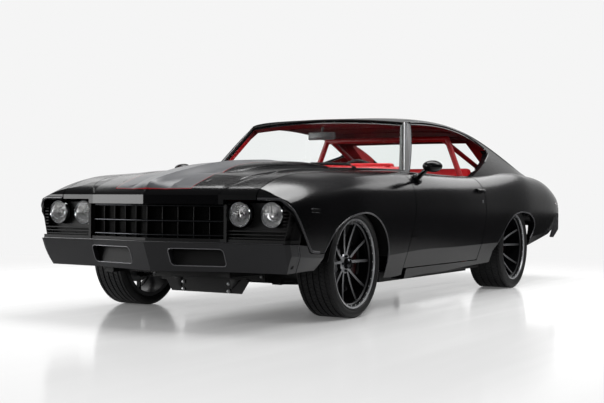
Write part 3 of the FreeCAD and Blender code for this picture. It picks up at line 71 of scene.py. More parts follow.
Point = tuple[float, float, float]
Pair = tuple[float, float]
Socket = bpy.types.NodeSocket
Tree = bpy.types.NodeTree
Piece = bpy.types.Object

# Rays that look for the car's skin start this far from its middle, across and along
RAY_X = 1.4
RAY_Y = 3.2


class Side(Enum):
    """The car's two sides, by the sign of X."""

    LEFT = 1
    RIGHT = -1

    @property
    def word(self) -> str:
        """The side's name as the bodies use it."""
        return self.name.lower()

    def bounds(self, near: float, far: float) -> Pair:
        """Give two distances from the middle as X on this side, the lower one first."""
        low, high = sorted((near * self.value, far * self.value))
        return low, high


# Colours and node helpers
def linear(code: str) -> tuple[float, float, float, float]:
    """Turn an sRGB hex colour into the linear values that shaders take.

    Args:
        code: Six hex digits, with or without a leading hash.

    Returns:
        Red, green, blue and an alpha of one.
    """
    digits = code.lstrip("#")
    channels = []
    for start in (0, 2, 4):
        value = int(digits[start:start + 2], 16) / 255
        channels.append(value / 12.92 if value <= 0.04045 else ((value + 0.055) / 1.055) ** 2.4)
    return (channels[0], channels[1], channels[2], 1.0)


def add_node(tree: Tree, kind: str, settings: Optional[dict[Any, Any]] = None,
             links: Optional[dict[Any, Socket]] = None) -> bpy.types.Node:
    """Add one node, set its properties and input values, and link its inputs.

    Args:
        tree: The node tree that takes the node.
        kind: The node's bl_idname.
        settings: Property names or input names (or indices) with their values.
        links: Input names or indices with the sockets that feed them.

    Returns:
        The new node.
    """
    node = tree.nodes.new(kind)
    for key, value in (settings or {}).items():
        if isinstance(key, str) and hasattr(node, key):
            setattr(node, key, value)
        else:
            node.inputs[key].default_value = value
    for key, socket in (links or {}).items():
        tree.links.new(socket, node.inputs[key])
    return node


def object_coordinates(tree: Tree) -> Socket:
    """Give the Object coordinates, which are metres in the car's own frame."""
    return add_node(tree, "ShaderNodeTexCoord").outputs["Object"]


def axes_of(tree: Tree, vector: Socket) -> Any:
    """Split a vector into its X, Y and Z outputs."""
    return add_node(tree, "ShaderNodeSeparateXYZ", links={"Vector": vector}).outputs


def noise(tree: Tree, where: Socket, scale: float, detail: float = 2.0) -> Socket:
    """Give a noise between nought and one."""
    settings = {"Scale": scale, "Detail": detail}
    return add_node(tree, "ShaderNodeTexNoise", settings, {"Vector": where}).outputs["Fac"]


def map_range(
    tree: Tree, value: Socket, source: Pair, target: Pair = (0.0, 1.0), smooth: bool = False
) -> Socket:
    """Map a value from one range to another and keep it there.

    Args:
        tree: The node tree.
        value: The value.
        source: The range that it comes from.
        target: The range that it goes to.
        smooth: Whether it eases in and out.

    Returns:
        The mapped value.
    """
    settings: dict[Any, Any] = dict(zip(("From Min", "From Max", "To Min", "To Max"), source + target))
    if smooth:
        settings["interpolation_type"] = "SMOOTHSTEP"
    return add_node(tree, "ShaderNodeMapRange", settings, {"Value": value}).outputs["Result"]


def vector_maths(tree: Tree, operation: str, *values: Socket) -> Socket:
    """Add one Vector Math node on sockets."""
    node = add_node(tree, "ShaderNodeVectorMath", {"operation": operation}, dict(enumerate(values)))
    return node.outputs["Value" if operation in ("LENGTH", "DOT_PRODUCT") else "Vector"]


def maths(tree: Tree, operation: str, first: Any, second: Any = None, third: Any = None) -> Socket:
    """Add one Math node on sockets or numbers.

    Args:
        tree: The node tree.
        operation: The Math node's operation.
        first: Its first socket or number.
        second: Its second socket or number, where it has one.
        third: Its third socket or number, where it has one.

    Returns:
        The node's output.
    """
    settings: dict[Any, Any] = {"operation": operation}
    links: dict[Any, Socket] = {}
    for index, value in enumerate((first, second, third)):
        if isinstance(value, bpy.types.NodeSocket):
            links[index] = value
        elif value is not None:
            settings[index] = value
    return add_node(tree, "ShaderNodeMath", settings, links).outputs[0]


def within(tree: Tree, value: Socket, low: float, high: float) -> Socket:
    """Give one where a value lies between two bounds, nought elsewhere."""
    middle, reach = (low + high) / 2, (high - low) / 2
    offset = maths(tree, "ABSOLUTE", maths(tree, "SUBTRACT", value, middle))
    return maths(tree, "LESS_THAN", offset, reach)


def waves(tree: Tree, value: Socket, pitch_mm: float) -> Socket:
    """Give a sine along a length, with a pitch in millimetres."""
    return maths(tree, "SINE", maths(tree, "MULTIPLY", value, 2 * math.pi * 1000.0 / pitch_mm))


def axle_distance(tree: Tree, where: Socket, axle: Pair) -> Socket:
    """Give the distance from an axle that runs across the car at a Y and a Z."""
    settings = {"Location": (0.0, -axle[0], -axle[1]), "Scale": (0.0, 1.0, 1.0)}
    moved = add_node(tree, "ShaderNodeMapping", settings, {"Vector": where})
    return vector_maths(tree, "LENGTH", moved.outputs["Vector"])


def blend(tree: Tree, factor: Socket, first: Any, second: Any) -> Socket:
    """Mix two values, each a socket or a number, by a factor."""
    mix = add_node(tree, "ShaderNodeMix", {"data_type": "FLOAT"}, {"Factor": factor})
    for name, value in (("A", first), ("B", second)):
        if isinstance(value, bpy.types.NodeSocket):
            tree.links.new(value, mix.inputs[name])
        else:
            mix.inputs[name].default_value = value
    return mix.outputs["Result"]


def mixed_colour(tree: Tree, factor: Socket, first: Any, second: Any) -> Socket:
    """Mix two colours, each a socket or a hex code, by a factor."""
    mix = add_node(tree, "ShaderNodeMix", {"data_type": "RGBA"}, {"Factor": factor})
    for name, value in (("A", first), ("B", second)):
        socket = next(s for s in mix.inputs if s.name == name and s.type == "RGBA")
        if isinstance(value, str):
            socket.default_value = linear(value)
        else:
            tree.links.new(value, socket)
    return next(s for s in mix.outputs if s.type == "RGBA")


@dataclass(frozen=True)
class Finish:
    """What a surface is and how it meets the light.

    Attributes:
        name: The material's name.
        colour: Base colour as sRGB hex.
        tint: Second colour that the first wanders towards.
        metallic: One for bare metal, nought for the rest.
        roughness: Mean roughness.
        swing: How far the roughness wanders over the surface.
        specular: Strength of the reflection at normal incidence.
        coat: Weight of a clear coat.
        coat_roughness: Roughness of that coat.
        grain_mm: Size of the fine texture.
        relief_mm: Height of that texture.
    """

    name: str
    colour: str
    tint: str
    metallic: float = 0.0
    roughness: float = 0.4
    swing: float = 0.05
    specular: float = 0.5
    coat: float = 0.0
    coat_roughness: float = 0.05
    grain_mm: float = 2.0
    relief_mm: float = 0.02

    def material(self) -> bpy.types.Material:
        """Make the material, or give the one that was made before."""
        found = bpy.data.materials.get(self.name)
        if found:
            return found
        material = bpy.data.materials.new(self.name)
        material.use_nodes = True
        tree = material.node_tree
        tree.nodes.clear()
        surface = self.shade(tree, object_coordinates(tree))
        add_node(tree, "ShaderNodeOutputMaterial", links={"Surface": surface})
        return material

    def shade(self, tree: Tree, where: Socket) -> Socket:
        """Build the shader from its colour, its roughness and its relief.

        Args:
            tree: The material's node tree.
            where: Object coordinates.

        Returns:
            The shader's output socket.
        """
        drift = noise(tree, where, 3.0, 3.0)
        links = {
            "Base Color": self.colour_socket(tree, where, drift),
            "Roughness": self.roughness_socket(tree, where, drift),
            "Normal": self.normal_socket(tree, where),
        }
        shader = add_node(tree, "ShaderNodeBsdfPrincipled", {
            "Metallic": self.metallic,
            "Specular IOR Level": self.specular,
            "Coat Weight": self.coat,
            "Coat Roughness": self.coat_roughness,
        }, links)
        return shader.outputs["BSDF"]

    def colour_socket(self, tree: Tree, where: Socket, drift: Socket) -> Socket:
        """Give the colour, wandering between the two tones."""
        return mixed_colour(tree, drift, self.colour, self.tint)

    def roughness_socket(self, tree: Tree, where: Socket, drift: Socket) -> Socket:
        """Give the roughness, wandering about its mean."""
        low, high = max(0.0, self.roughness - self.swing), min(1.0, self.roughness + self.swing)
        return map_range(tree, drift, (0.0, 1.0), (low, high))

    def height_socket(self, tree: Tree, where: Socket) -> Socket:
        """Give the height of the fine texture, from nought to one."""
        return noise(tree, where, 1000.0 / self.grain_mm)

    def normal_socket(self, tree: Tree, where: Socket) -> Socket:
        """Turn the height into a bumped normal."""
        settings = {"Distance": self.relief_mm / 1000.0, "Strength": 0.7}
        return add_node(
            tree, "ShaderNodeBump", settings, {"Height": self.height_socket(tree, where)}
        ).outputs["Normal"]


@dataclass(frozen=True)
class StripedPaint(Finish):
    """Paint with a broad centre stripe of another tone inside a thin pinstripe.

    Attributes:
        stripe: The stripe's colour.
        pin: The pinstripe's colour.
        half_width: Half the stripe's width in metres, at its front.
        ends: Where the stripe starts, on the middle line, and ends along Y.
        sweep: How far the front edge falls back for each metre from the middle.
        rear_half_width: Half its width once it has drawn in.
        drawn: Where along Y it draws in.
        pin_width: The pinstripe's width in metres.
        dulling: How much rougher the stripe is than the paint.
    """

    stripe: str = "#4c4d50"
    pin: str = "#8e1a20"
    half_width: float = 0.268
    ends: Pair = (-2.496, 3.0)
    sweep: float = 0.235
    rear_half_width: float = 0.186
    drawn: Pair = (-2.25, -1.82)
    pin_width: float = 0.0035
    dulling: float = 0.12

    def bands(self, tree: Tree, where: Socket) -> tuple[Socket, Socket]:
        """Give the masks of the stripe and of the stripe with its pinstripe."""
        axes = axes_of(tree, where)
        out = maths(tree, "ABSOLUTE", axes["X"])
        reach = maths(
            tree, "MULTIPLY_ADD", out, -self.sweep, maths(tree, "SUBTRACT", axes["Y"], self.ends[0])
        )
        half = map_range(tree, axes["Y"], self.drawn, (self.half_width, self.rear_half_width))
        masks = []
        for grow in (0.0, self.pin_width):
            across = maths(tree, "LESS_THAN", maths(tree, "SUBTRACT", out, grow), half)
            along = within(tree, reach, -grow, self.ends[1] - self.ends[0])
            masks.append(maths(tree, "MULTIPLY", across, along))
        return masks[0], masks[1]

    def colour_socket(self, tree: Tree, where: Socket, drift: Socket) -> Socket:
        """Lay the pinstripe over the paint, and the stripe over both."""
        inner, outer = self.bands(tree, where)
        under = mixed_colour(tree, drift, self.colour, self.tint)
        return mixed_colour(tree, inner, mixed_colour(tree, outer, under, self.pin), self.stripe)

    def roughness_socket(self, tree: Tree, where: Socket, drift: Socket) -> Socket:
        """Give the stripe a more satin surface than the paint beside it."""
        inner, _ = self.bands(tree, where)
        return maths(tree, "MULTIPLY_ADD", inner, self.dulling, self.roughness)


@dataclass(frozen=True)
class TrimmedPaint(Finish):
    """Paint outside, with red trim on the faces that look into the cabin.

    Attributes:
        trim: The trim's colour.
        lining: The roof lining's colour.
        lining_z: Heights where the trim starts to turn into the lining, and where it has.
        cabin_y: The cabin's front and rear ends.
        middle_z: The height of the cabin's middle.
        belt_z: The height over which the whole length of the cabin is trimmed.
        low_x: Where the trim under the belt ends across the car.
        low_y: Where it ends along the car.
        low_z: Its foot and its head.
        turned: How squarely a face has to look at the middle, as a cosine.
        dulling: How much rougher the trim is than the paint.
    """

    trim: str = "#8c1319"
    lining: str = "#4a1417"
    lining_z: Pair = (1.14, 1.2)
    cabin_y: Pair = (-0.83, 1.62)
    middle_z: float = 0.95
    belt_z: float = 0.86
    low_x: float = 0.72
    low_y: float = 0.84
    low_z: Pair = (0.25, 0.87)
    turned: float = 0.2
    dulling: float = 0.35

    def inside(self, tree: Tree, where: Socket) -> Socket:
        """Give one on the faces that look at the cabin's middle."""
        axes = axes_of(tree, where)
        middle = add_node(tree, "ShaderNodeCombineXYZ", {"X": 0.0, "Z": self.middle_z}, {"Y": axes["Y"]})
        inward = vector_maths(tree, "SUBTRACT", middle.outputs["Vector"], where)
        facing = add_node(tree, "ShaderNodeNewGeometry").outputs["True Normal"]
        turned = vector_maths(tree, "DOT_PRODUCT", vector_maths(tree, "NORMALIZE", inward), facing)
        looks_in = maths(tree, "GREATER_THAN", turned, self.turned)
        over_belt = maths(tree, "GREATER_THAN", axes["Z"], self.belt_z)
        upper = maths(tree, "MULTIPLY", within(tree, axes["Y"], *self.cabin_y), over_belt)
        lower = within(tree, axes["Y"], self.cabin_y[0], self.low_y)
        lower = maths(tree, "MULTIPLY", lower, within(tree, axes["Z"], *self.low_z))
        lower = maths(tree, "MULTIPLY", lower, within(tree, axes["X"], -self.low_x, self.low_x))
        return maths(tree, "MULTIPLY", maths(tree, "MAXIMUM", upper, lower), looks_in)

    def colour_socket(self, tree: Tree, where: Socket, drift: Socket) -> Socket:
        """Paint outside, trim inside, and the darker lining high up."""
        high = map_range(tree, axes_of(tree, where)["Z"], self.lining_z)
        cabin = mixed_colour(tree, high, self.trim, self.lining)
        paint = mixed_colour(tree, drift, self.colour, self.tint)
        return mixed_colour(tree, self.inside(tree, where), paint, cabin)

    def roughness_socket(self, tree: Tree, where: Socket, drift: Socket) -> Socket:
        """Make the trim dull and keep the paint's own roughness."""
        return maths(tree, "MULTIPLY_ADD", self.inside(tree, where), self.dulling, self.roughness)


@dataclass(frozen=True)
class LippedPlate(Finish):
    """Moulded plate that is polished along its top lip and dull in its recess.

    Attributes:
        lip_z: The height at which the lip begins.
        dull: How much rougher the recess is.
    """

    lip_z: float = 0.69
    dull: float = 0.4

    def roughness_socket(self, tree: Tree, where: Socket, drift: Socket) -> Socket:
        """Keep the lip's polish and dull what lies under it."""
        recess = maths(tree, "LESS_THAN", axes_of(tree, where)["Z"], self.lip_z)
        return maths(tree, "MULTIPLY_ADD", recess, self.dull, self.roughness)


@dataclass(frozen=True)
class Hide(Finish):
    """Leather: cells of grain with fine creases between them."""

    def height_socket(self, tree: Tree, where: Socket) -> Socket:
        """Give the cells' height."""
        settings = {"feature": "DISTANCE_TO_EDGE", "Scale": 1000.0 / self.grain_mm}
        cells = add_node(tree, "ShaderNodeTexVoronoi", settings, {"Vector": where})
        return maths(tree, "MINIMUM", maths(tree, "MULTIPLY", cells.outputs["Distance"], 4.0), 1.0)


@dataclass(frozen=True)
class Machined(Finish):
    """Metal turned on a lathe, with fine rings round its axis.

    Attributes:
        centre: The axis in Y and Z.
    """

    centre: Pair = (0.0, 0.0)

    def height_socket(self, tree: Tree, where: Socket) -> Socket:
        """Give rings by the distance from the axis."""
        return waves(tree, axle_distance(tree, where, self.centre), self.grain_mm)


@dataclass(frozen=True)
class FacedAlloy(Finish):
    """Dark alloy whose spokes' outward faces carry a painted highlight in soft silver.

    Attributes:
        face: The painted highlight's colour.
        hub: The axle in Y and Z.
        reach: Radii where the painted highlight starts to fade, and ends.
        share: How much of it is left at those radii.
        square: How squarely a face looks out where the painted highlight starts, and where it is full.
    """

    face: str = "#a9aaad"
    hub: Pair = (0.0, 0.0)
    reach: Pair = (0.06, 0.235)
    share: Pair = (1.0, 0.1)
    square: Pair = (0.45, 0.8)

    def colour_socket(self, tree: Tree, where: Socket, drift: Socket) -> Socket:
        """Paint the highlight in silver on the spokes' outward faces, fading towards the rim."""
        fade = map_range(tree, axle_distance(tree, where, self.hub), self.reach, self.share)
        facing = axes_of(tree, add_node(tree, "ShaderNodeNewGeometry").outputs["True Normal"])
        square = map_range(tree, maths(tree, "ABSOLUTE", facing["X"]), self.square)
        alloy = mixed_colour(tree, drift, self.colour, self.tint)
        return mixed_colour(tree, maths(tree, "MULTIPLY", fade, square), alloy, self.face)


@dataclass(frozen=True)
class Ribbed(Finish):
    """A moulded face with upright ribs across X."""

    def height_socket(self, tree: Tree, where: Socket) -> Socket:
        """Give ribs along X at the grain's pitch."""
        return waves(tree, axes_of(tree, where)["X"], self.grain_mm)


@dataclass(frozen=True)
class Glass(Finish):
    """A clear pane, which bends light little and mirrors it at a slant.

    Attributes:
        ior: What sets the mirror's strength.
        flute_mm: Pitch of pressed flutes across X, nought for none.
    """

    ior: float = 1.45
    flute_mm: float = 0.0

    def shade(self, tree: Tree, where: Socket) -> Socket:
        """Mix a tinted see-through with a mirror that follows the Fresnel law."""
        drift = noise(tree, where, 2.0)
        clear = add_node(
            tree, "ShaderNodeBsdfTransparent", links={"Color": self.colour_socket(tree, where, drift)}
        )
        links = {"Roughness": self.roughness_socket(tree, where, drift)}
        slant_links = {}
        if self.flute_mm:
            wave = waves(tree, axes_of(tree, where)["X"], self.flute_mm)
            bump = add_node(tree, "ShaderNodeBump", {"Distance": self.relief_mm / 1000.0}, {"Height": wave})
            links["Normal"] = bump.outputs["Normal"]
            slant_links["Normal"] = bump.outputs["Normal"]
        mirror = add_node(tree, "ShaderNodeBsdfGlossy", {"Color": (1, 1, 1, 1)}, links)
        slant = add_node(tree, "ShaderNodeFresnel", {"IOR": self.ior}, slant_links)
        leaving = add_node(tree, "ShaderNodeNewGeometry").outputs["Backfacing"]
        share = maths(tree, "MULTIPLY", slant.outputs["Fac"], maths(tree, "SUBTRACT", 1.0, leaving))
        shaders = {0: share, 1: clear.outputs["BSDF"], 2: mirror.outputs["BSDF"]}
        return add_node(tree, "ShaderNodeMixShader", links=shaders).outputs["Shader"]


# Two-pack paint: the black lets almost no light back, so only the lamps' reflections shape it
PAINT_LOOK: dict[str, Any] = {
    "colour": "#050506", "tint": "#08080a", "roughness": 0.2, "swing": 0.02, "specular": 0.2,
    "coat": 0.05, "coat_roughness": 0.08, "grain_mm": 9.0, "relief_mm": 0.004,
}
BLACK_PAINT = Finish("satin_black_paint", **PAINT_LOOK)
HOOD_PAINT = StripedPaint("striped_black_paint", **PAINT_LOOK)
LID_PAINT = StripedPaint("striped_lid_paint", **PAINT_LOOK, half_width=0.186, ends=(1.0, 3.0), sweep=0.0)
SHELL_PAINT = TrimmedPaint("shell_paint_and_trim", **PAINT_LOOK)
# Body paint lightened to grey for rolled lips and flanges, as a painted highlight
PAINT_EDGE_HIGHLIGHT = Finish(
    "rolled_paint_edge", "#2c2c2f", "#343437", roughness=0.24, specular=0.55, grain_mm=6.0, relief_mm=0.006
)
# Bumper paint: the body's black lightened to a flatter charcoal as painted light, and paler at its edges as a
# painted highlight
LIGHTENED_BUMPER_PAINT = Finish(
    "satin_charcoal_paint", "#1b1b1d", "#212124", roughness=0.32, specular=0.6, coat=0.1, coat_roughness=0.2,
    grain_mm=6.0, relief_mm=0.006,
)
# Pale grey for the bumper's rolled edges and slot rims: a painted highlight
BUMPER_EDGE_HIGHLIGHT = Finish(
    "worn_charcoal_edge", "#737376", "#7f7f82", metallic=0.3, roughness=0.3, specular=0.5, grain_mm=6.0,
    relief_mm=0.006,
)
# Moulded ABS, polished or grained by its mould
GLOSS_ABS = Finish(
    "polished_black_abs", "#040405", "#070708", roughness=0.16, specular=0.3, grain_mm=7.0, relief_mm=0.005
)
NOSE_PLATE = LippedPlate(
    "lipped_black_abs", "#030304", "#050506", roughness=0.16, specular=0.3, grain_mm=7.0, relief_mm=0.005
)
GRAINED_ABS = Finish(
    "grained_black_abs", "#09090a", "#0f0f10", roughness=0.55, specular=0.2, grain_mm=1.6, relief_mm=0.06
)
MIRROR_GREY = Finish(
    "grey_mirror_shell", "#2c2d30", "#35373a", roughness=0.35, specular=0.5, grain_mm=3.0, relief_mm=0.02
)
# Coatings: a dull powder on the mesh, brushed enamels, slightly uneven, and a glossy powder on the cage
MESH_BLACK = Finish(
    "powder_coated_mesh", "#020202", "#040404", roughness=0.6, specular=0.08, grain_mm=4.0, relief_mm=0.02
)
CHASSIS = Finish(
    "chassis_enamel", "#0a0a0b", "#121213", roughness=0.42, specular=0.25, grain_mm=4.0, relief_mm=0.05
)
# Red enamel darkened nearly to black as painted shade, for the caliper deep inside the wheel
DARKENED_RED_ENAMEL = Finish(
    "red_caliper_enamel", "#1e0406", "#280608", roughness=0.3, specular=0.5, grain_mm=5.0, relief_mm=0.03
)
PLATE_ENAMEL = Finish("plain_plate_enamel", "#c4c4c0", "#b8b8b4", roughness=0.4, grain_mm=5.0, relief_mm=0.02)
RED_TUBE = Finish(
    "red_powder_coat", "#860f15", "#96141b", roughness=0.34, specular=0.4, grain_mm=3.0, relief_mm=0.03
)
# Bare and plated metals; castings keep the texture of their sand
CAST_IRON = Finish(
    "painted_cast_iron", "#161617", "#222223", metallic=0.4, roughness=0.5, grain_mm=2.5, relief_mm=0.15
)
CAST_ALLOY = Finish(
    "sand_cast_alloy", "#7f8083", "#6b6c6f", metallic=0.9, roughness=0.42, grain_mm=2.0, relief_mm=0.15
)
STEEL = Finish(
    "drawn_steel_tube", "#7c7d80", "#5f6063", metallic=1.0, roughness=0.32, grain_mm=5.0, relief_mm=0.02
)
BRIGHT_BOLT = Finish(
    "zinc_plated_steel", "#d2d3d4", "#bbbdbf", metallic=0.6, roughness=0.3, grain_mm=3.0, relief_mm=0.02
)
CHROME = Finish(
    "chrome_plate", "#d7d9dc", "#cfd1d4", metallic=1.0, roughness=0.06, swing=0.02, grain_mm=9.0,
    relief_mm=0.002,
)
DARK_CHROME = Finish(
    "smoked_chrome_plate", "#3a3b3e", "#444548", metallic=1.0, roughness=0.16, grain_mm=8.0, relief_mm=0.005
)
REFLECTOR = Finish(
    "vapour_plated_reflector", "#fbfbfb", "#f0f0f0", metallic=0.8, roughness=0.1, grain_mm=7.0, relief_mm=0.05
)
# Anodised forged alloy, dark, with a painted highlight in silver on the spokes' faces, and a pale lip
ALLOY_LOOK: dict[str, Any] = {
    "colour": "#0c0c0e", "tint": "#131315", "metallic": 0.55, "roughness": 0.3, "grain_mm": 5.0,
    "relief_mm": 0.01,
}
FRONT_ALLOY = FacedAlloy("faced_alloy_front", **ALLOY_LOOK, hub=(-1.600, 0.328))
REAR_ALLOY = FacedAlloy("faced_alloy_rear", **ALLOY_LOOK, hub=(1.245, 0.342))
POLISHED_LIP = Finish(
    "polished_alloy_lip", "#a2a3a6", "#c9cacc", metallic=0.45, roughness=0.3, grain_mm=6.0, relief_mm=0.01
)
# Carbon-black rubber: dull, with a faint bloom on the tyres' walls
RUBBER = Finish(
    "vulcanised_rubber", "#121213", "#1d1d1e", roughness=0.5, specular=0.35, grain_mm=2.2, relief_mm=0.08
)
SEAL_RUBBER = Finish(
    "extruded_rubber_seal", "#060606", "#0a0a0a", roughness=0.5, specular=0.2, grain_mm=3.0, relief_mm=0.02
)
# Hide with a pebbled grain, drawn at 4 mm so that it shows, and the cabin's cloths
RED_HIDE = Hide(
    "red_pebbled_hide", "#c2151e", "#d21e27", roughness=0.44, specular=0.35, grain_mm=4.0, relief_mm=0.25
)
DARK_HIDE = Hide(
    "black_pebbled_hide", "#0c0c0d", "#131314", roughness=0.42, specular=0.3, grain_mm=4.0, relief_mm=0.2
)
CARPET = Finish(
    "looped_black_carpet", "#0d0d0e", "#171718", roughness=0.92, specular=0.1, grain_mm=5.0, relief_mm=1.2
)
LINING = Finish(
    "napped_roof_lining", "#44121a", "#4f151b", roughness=0.85, specular=0.15, grain_mm=2.5, relief_mm=0.2
)
# Acrylic and glass
RED_LENS = Ribbed(
    "ribbed_red_acrylic", "#3d0305", "#4f0407", roughness=0.14, specular=0.5, coat=0.5, grain_mm=12.0,
    relief_mm=0.5,
)
SMOKED_LENS = Ribbed(
    "ribbed_smoked_acrylic", "#0a0a0b", "#111112", roughness=0.16, specular=0.5, coat=0.3, grain_mm=10.0,
    relief_mm=0.3,
)
SCREEN_GLASS = Glass("laminated_glass", "#fafcfb", "#fcfdfd", roughness=0.02, swing=0.01, ior=1.03)
LAMP_GLASS = Glass(
    "pressed_lamp_glass", "#fafafa", "#f6f6f6", roughness=0.03, swing=0.01, flute_mm=9.0, relief_mm=0.5
)
# Inks of the instruments
DIAL_FACE = Finish("printed_dial_face", "#0a0a0a", "#101010", roughness=0.5, grain_mm=2.0, relief_mm=0.01)
WHITE_INK = Finish("white_dial_ink", "#d9d9d6", "#c9c9c6", roughness=0.6, grain_mm=2.0, relief_mm=0.01)


# Mesh tools
def add_object(name: str, mesh: bpy.types.Mesh, finish: Finish, body: str) -> Piece:
    """Link a finished mesh at the origin, dress it and let it ride on its body."""
    mesh.name = name
    mesh.materials.clear()
    mesh.materials.append(finish.material())
    obj = bpy.data.objects.new(name, mesh)
    bpy.context.collection.objects.link(obj)
    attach(obj, body)
    LOG.info("%s rides on %s in %s", name, body, finish.name)
    return obj


def finish_piece(bm: bmesh.types.BMesh, name: str, finish: Finish, body: str, bevel: float = 0.0,
                 sharp: float = 35.0) -> Piece:
    """Clean a bmesh, soften its edges and make it a piece.

    Args:
        bm: The shape, which is freed.
        name: The piece's name.
        finish: Its finish.
        body: The body that it rides on.
        bevel: Width of the bevel on its hard edges, nought for none.
        sharp: Angle in degrees over which an edge stays sharp.

    Returns:
        The new object.
    """
    bmesh.ops.remove_doubles(bm, verts=bm.verts, dist=1e-6)
    bmesh.ops.recalc_face_normals(bm, faces=bm.faces)
    if bevel > 0:
        hard = [e for e in bm.edges if e.is_manifold and e.calc_face_angle(0.0) > math.radians(40)]
        bmesh.ops.bevel(
            bm, geom=hard, offset=bevel, offset_type="OFFSET", affect="EDGES", segments=2, profile=0.5,
            material=-1, clamp_overlap=True,
        )
    mesh = bpy.data.meshes.new(name)
    bm.to_mesh(mesh)
    bm.free()
    mesh.shade_smooth()
    mesh.set_sharp_from_angle(angle=math.radians(sharp))
    return add_object(name, mesh, finish, body)


def pour(source: bmesh.types.BMesh, bm: bmesh.types.BMesh) -> None:
    """Add one small mesh to a larger one and free it, which keeps every operator's mesh small."""
    mesh = bpy.data.meshes.new("pour")
    source.to_mesh(mesh)
    source.free()
    bm.from_mesh(mesh)
    bpy.data.meshes.remove(mesh)


def lathe(bm: bmesh.types.BMesh, profile: Sequence[Pair], centre: Point, axis: Point, steps: int = 48,
          closed: bool = True) -> None:
    """Spin a profile once round an axis.

    Args:
        bm: The mesh that takes the shape.
        profile: Pairs of the distance along the axis and the radius.
        centre: A point on the axis, where the distance is nought.
        axis: The axis' direction.
        steps: Steps in the turn.
        closed: Whether the profile's ends are joined.
    """
    way = Vector(axis).normalized()
    out = way.orthogonal().normalized()
    turned = bmesh.new()
    verts = [turned.verts.new(Vector(centre) + way * along + out * radius) for along, radius in profile]
    edges = [turned.edges.new(pair) for pair in zip(verts, verts[1:])]
    if closed:
        edges.append(turned.edges.new((verts[-1], verts[0])))
    bmesh.ops.spin(
        turned, geom=verts + edges, cent=Vector(centre), axis=way, dvec=(0, 0, 0), angle=2 * math.pi,
        steps=steps, use_merge=True, use_duplicate=False,
    )
    pour(turned, bm)


def slab(bm: bmesh.types.BMesh, low: Point, high: Point, turn: Optional[Matrix] = None) -> None:
    """Add a block between two corners, turned about its middle where a turn is given."""
    low_corner, high_corner = Vector(low), Vector(high)
    size = high_corner - low_corner
    place = Matrix.Translation((low_corner + high_corner) / 2)
    if turn is not None:
        place = place @ turn
    block = bmesh.new()
    bmesh.ops.create_cube(block, size=1.0, matrix=place @ Matrix.Diagonal((*size, 1.0)))
    pour(block, bm)


def rod(bm: bmesh.types.BMesh, start: Point, end: Point, radius: float, sides: int = 16,
        end_radius: Optional[float] = None) -> None:
    """Add a round bar, or a cone where the end's radius is given."""
    first, last = Vector(start), Vector(end)
    turn = (last - first).to_track_quat("Z", "Y").to_matrix().to_4x4()
    place = Matrix.Translation((first + last) / 2) @ turn
    cone = bmesh.new()
    bmesh.ops.create_cone(
        cone, cap_ends=True, cap_tris=False, segments=sides, radius1=radius,
        radius2=radius if end_radius is None else end_radius, depth=(last - first).length, matrix=place,
    )
    pour(cone, bm)


def dome(bm: bmesh.types.BMesh, centre: Point, axis: Point, radius: float, height: float) -> None:
    """Add a domed bolt head that stands on a plane."""
    rows = [(height * math.sin(t), radius * math.cos(t)) for t in (0.0, 0.4, 0.8, 1.2)]
    lathe(
        bm, [(-0.002, 0.0), (-0.002, radius)] + rows + [(height, 0.0)], centre, axis, steps=16, closed=False
    )


def turned_piece(name: str, finish: Finish, body: str, profile: Sequence[Pair], centre: Point, axis: Point,
                 steps: int = 48, closed: bool = True, bevel: float = 0.0, sharp: float = 35.0) -> Piece:
    """Make a piece that is one turned shape; the arguments are those of lathe and finish_piece."""
    bm = bmesh.new()
    lathe(bm, profile, centre, axis, steps, closed)
    return finish_piece(bm, name, finish, body, bevel, sharp)


def block_piece(name: str, finish: Finish, body: str, low: Point, high: Point, bevel: float = 0.0) -> Piece:
    """Make a piece that is one block; the arguments are those of slab and finish_piece."""
    bm = bmesh.new()
    slab(bm, low, high)
    return finish_piece(bm, name, finish, body, bevel)


def raise_faces(bm: bmesh.types.BMesh, faces: Sequence[bmesh.types.BMFace], way: Point) -> None:
    """Thicken faces by drawing them out along a way."""
    raised = bmesh.ops.extrude_face_region(bm, geom=faces)
    moved = [v for v in raised["geom"] if isinstance(v, bmesh.types.BMVert)]
    bmesh.ops.translate(bm, verts=moved, vec=way)


def panel(bm: bmesh.types.BMesh, outline: Sequence[Point], depth: Point) -> None:
    """Raise a plate from a flat outline."""
    face = bm.faces.new([bm.verts.new(Vector(p)) for p in outline])
    raise_faces(bm, [face], depth)


def bead(name: str, points: Sequence[Point], radius: float, finish: Finish, body: str, smooth: bool = True,
         cyclic: bool = False, resolution: int = 2) -> Piece:
    """Lay a round moulding along a path.

    Args:
        name: The piece's name.
        points: The path.
        radius: The moulding's radius.
        finish: Its finish.
        body: The body that it rides on.
        smooth: Whether the path is a smooth curve or straight runs.
        cyclic: Whether the path closes on itself.
        resolution: Fineness of the round section.

    Returns:
        The new object.
    """
    curve = bpy.data.curves.new(name, "CURVE")
    curve.dimensions = "3D"
    curve.bevel_depth = radius
    curve.bevel_resolution = resolution
    curve.use_fill_caps = not cyclic
    line = curve.splines.new("NURBS" if smooth else "POLY")
    line.points.add(len(points) - 1)
    for point, place in zip(line.points, points):
        point.co = (*place, 1.0)
    line.use_cyclic_u = cyclic
    if smooth:
        line.order_u = 3
        line.use_endpoint_u = not cyclic
        line.resolution_u = 6
    holder = bpy.data.objects.new(name + "_path", curve)
    mesh = bpy.data.meshes.new_from_object(holder)
    bpy.data.objects.remove(holder)
    bpy.data.curves.remove(curve)
    mesh.shade_smooth()
    return add_object(name, mesh, finish, body)


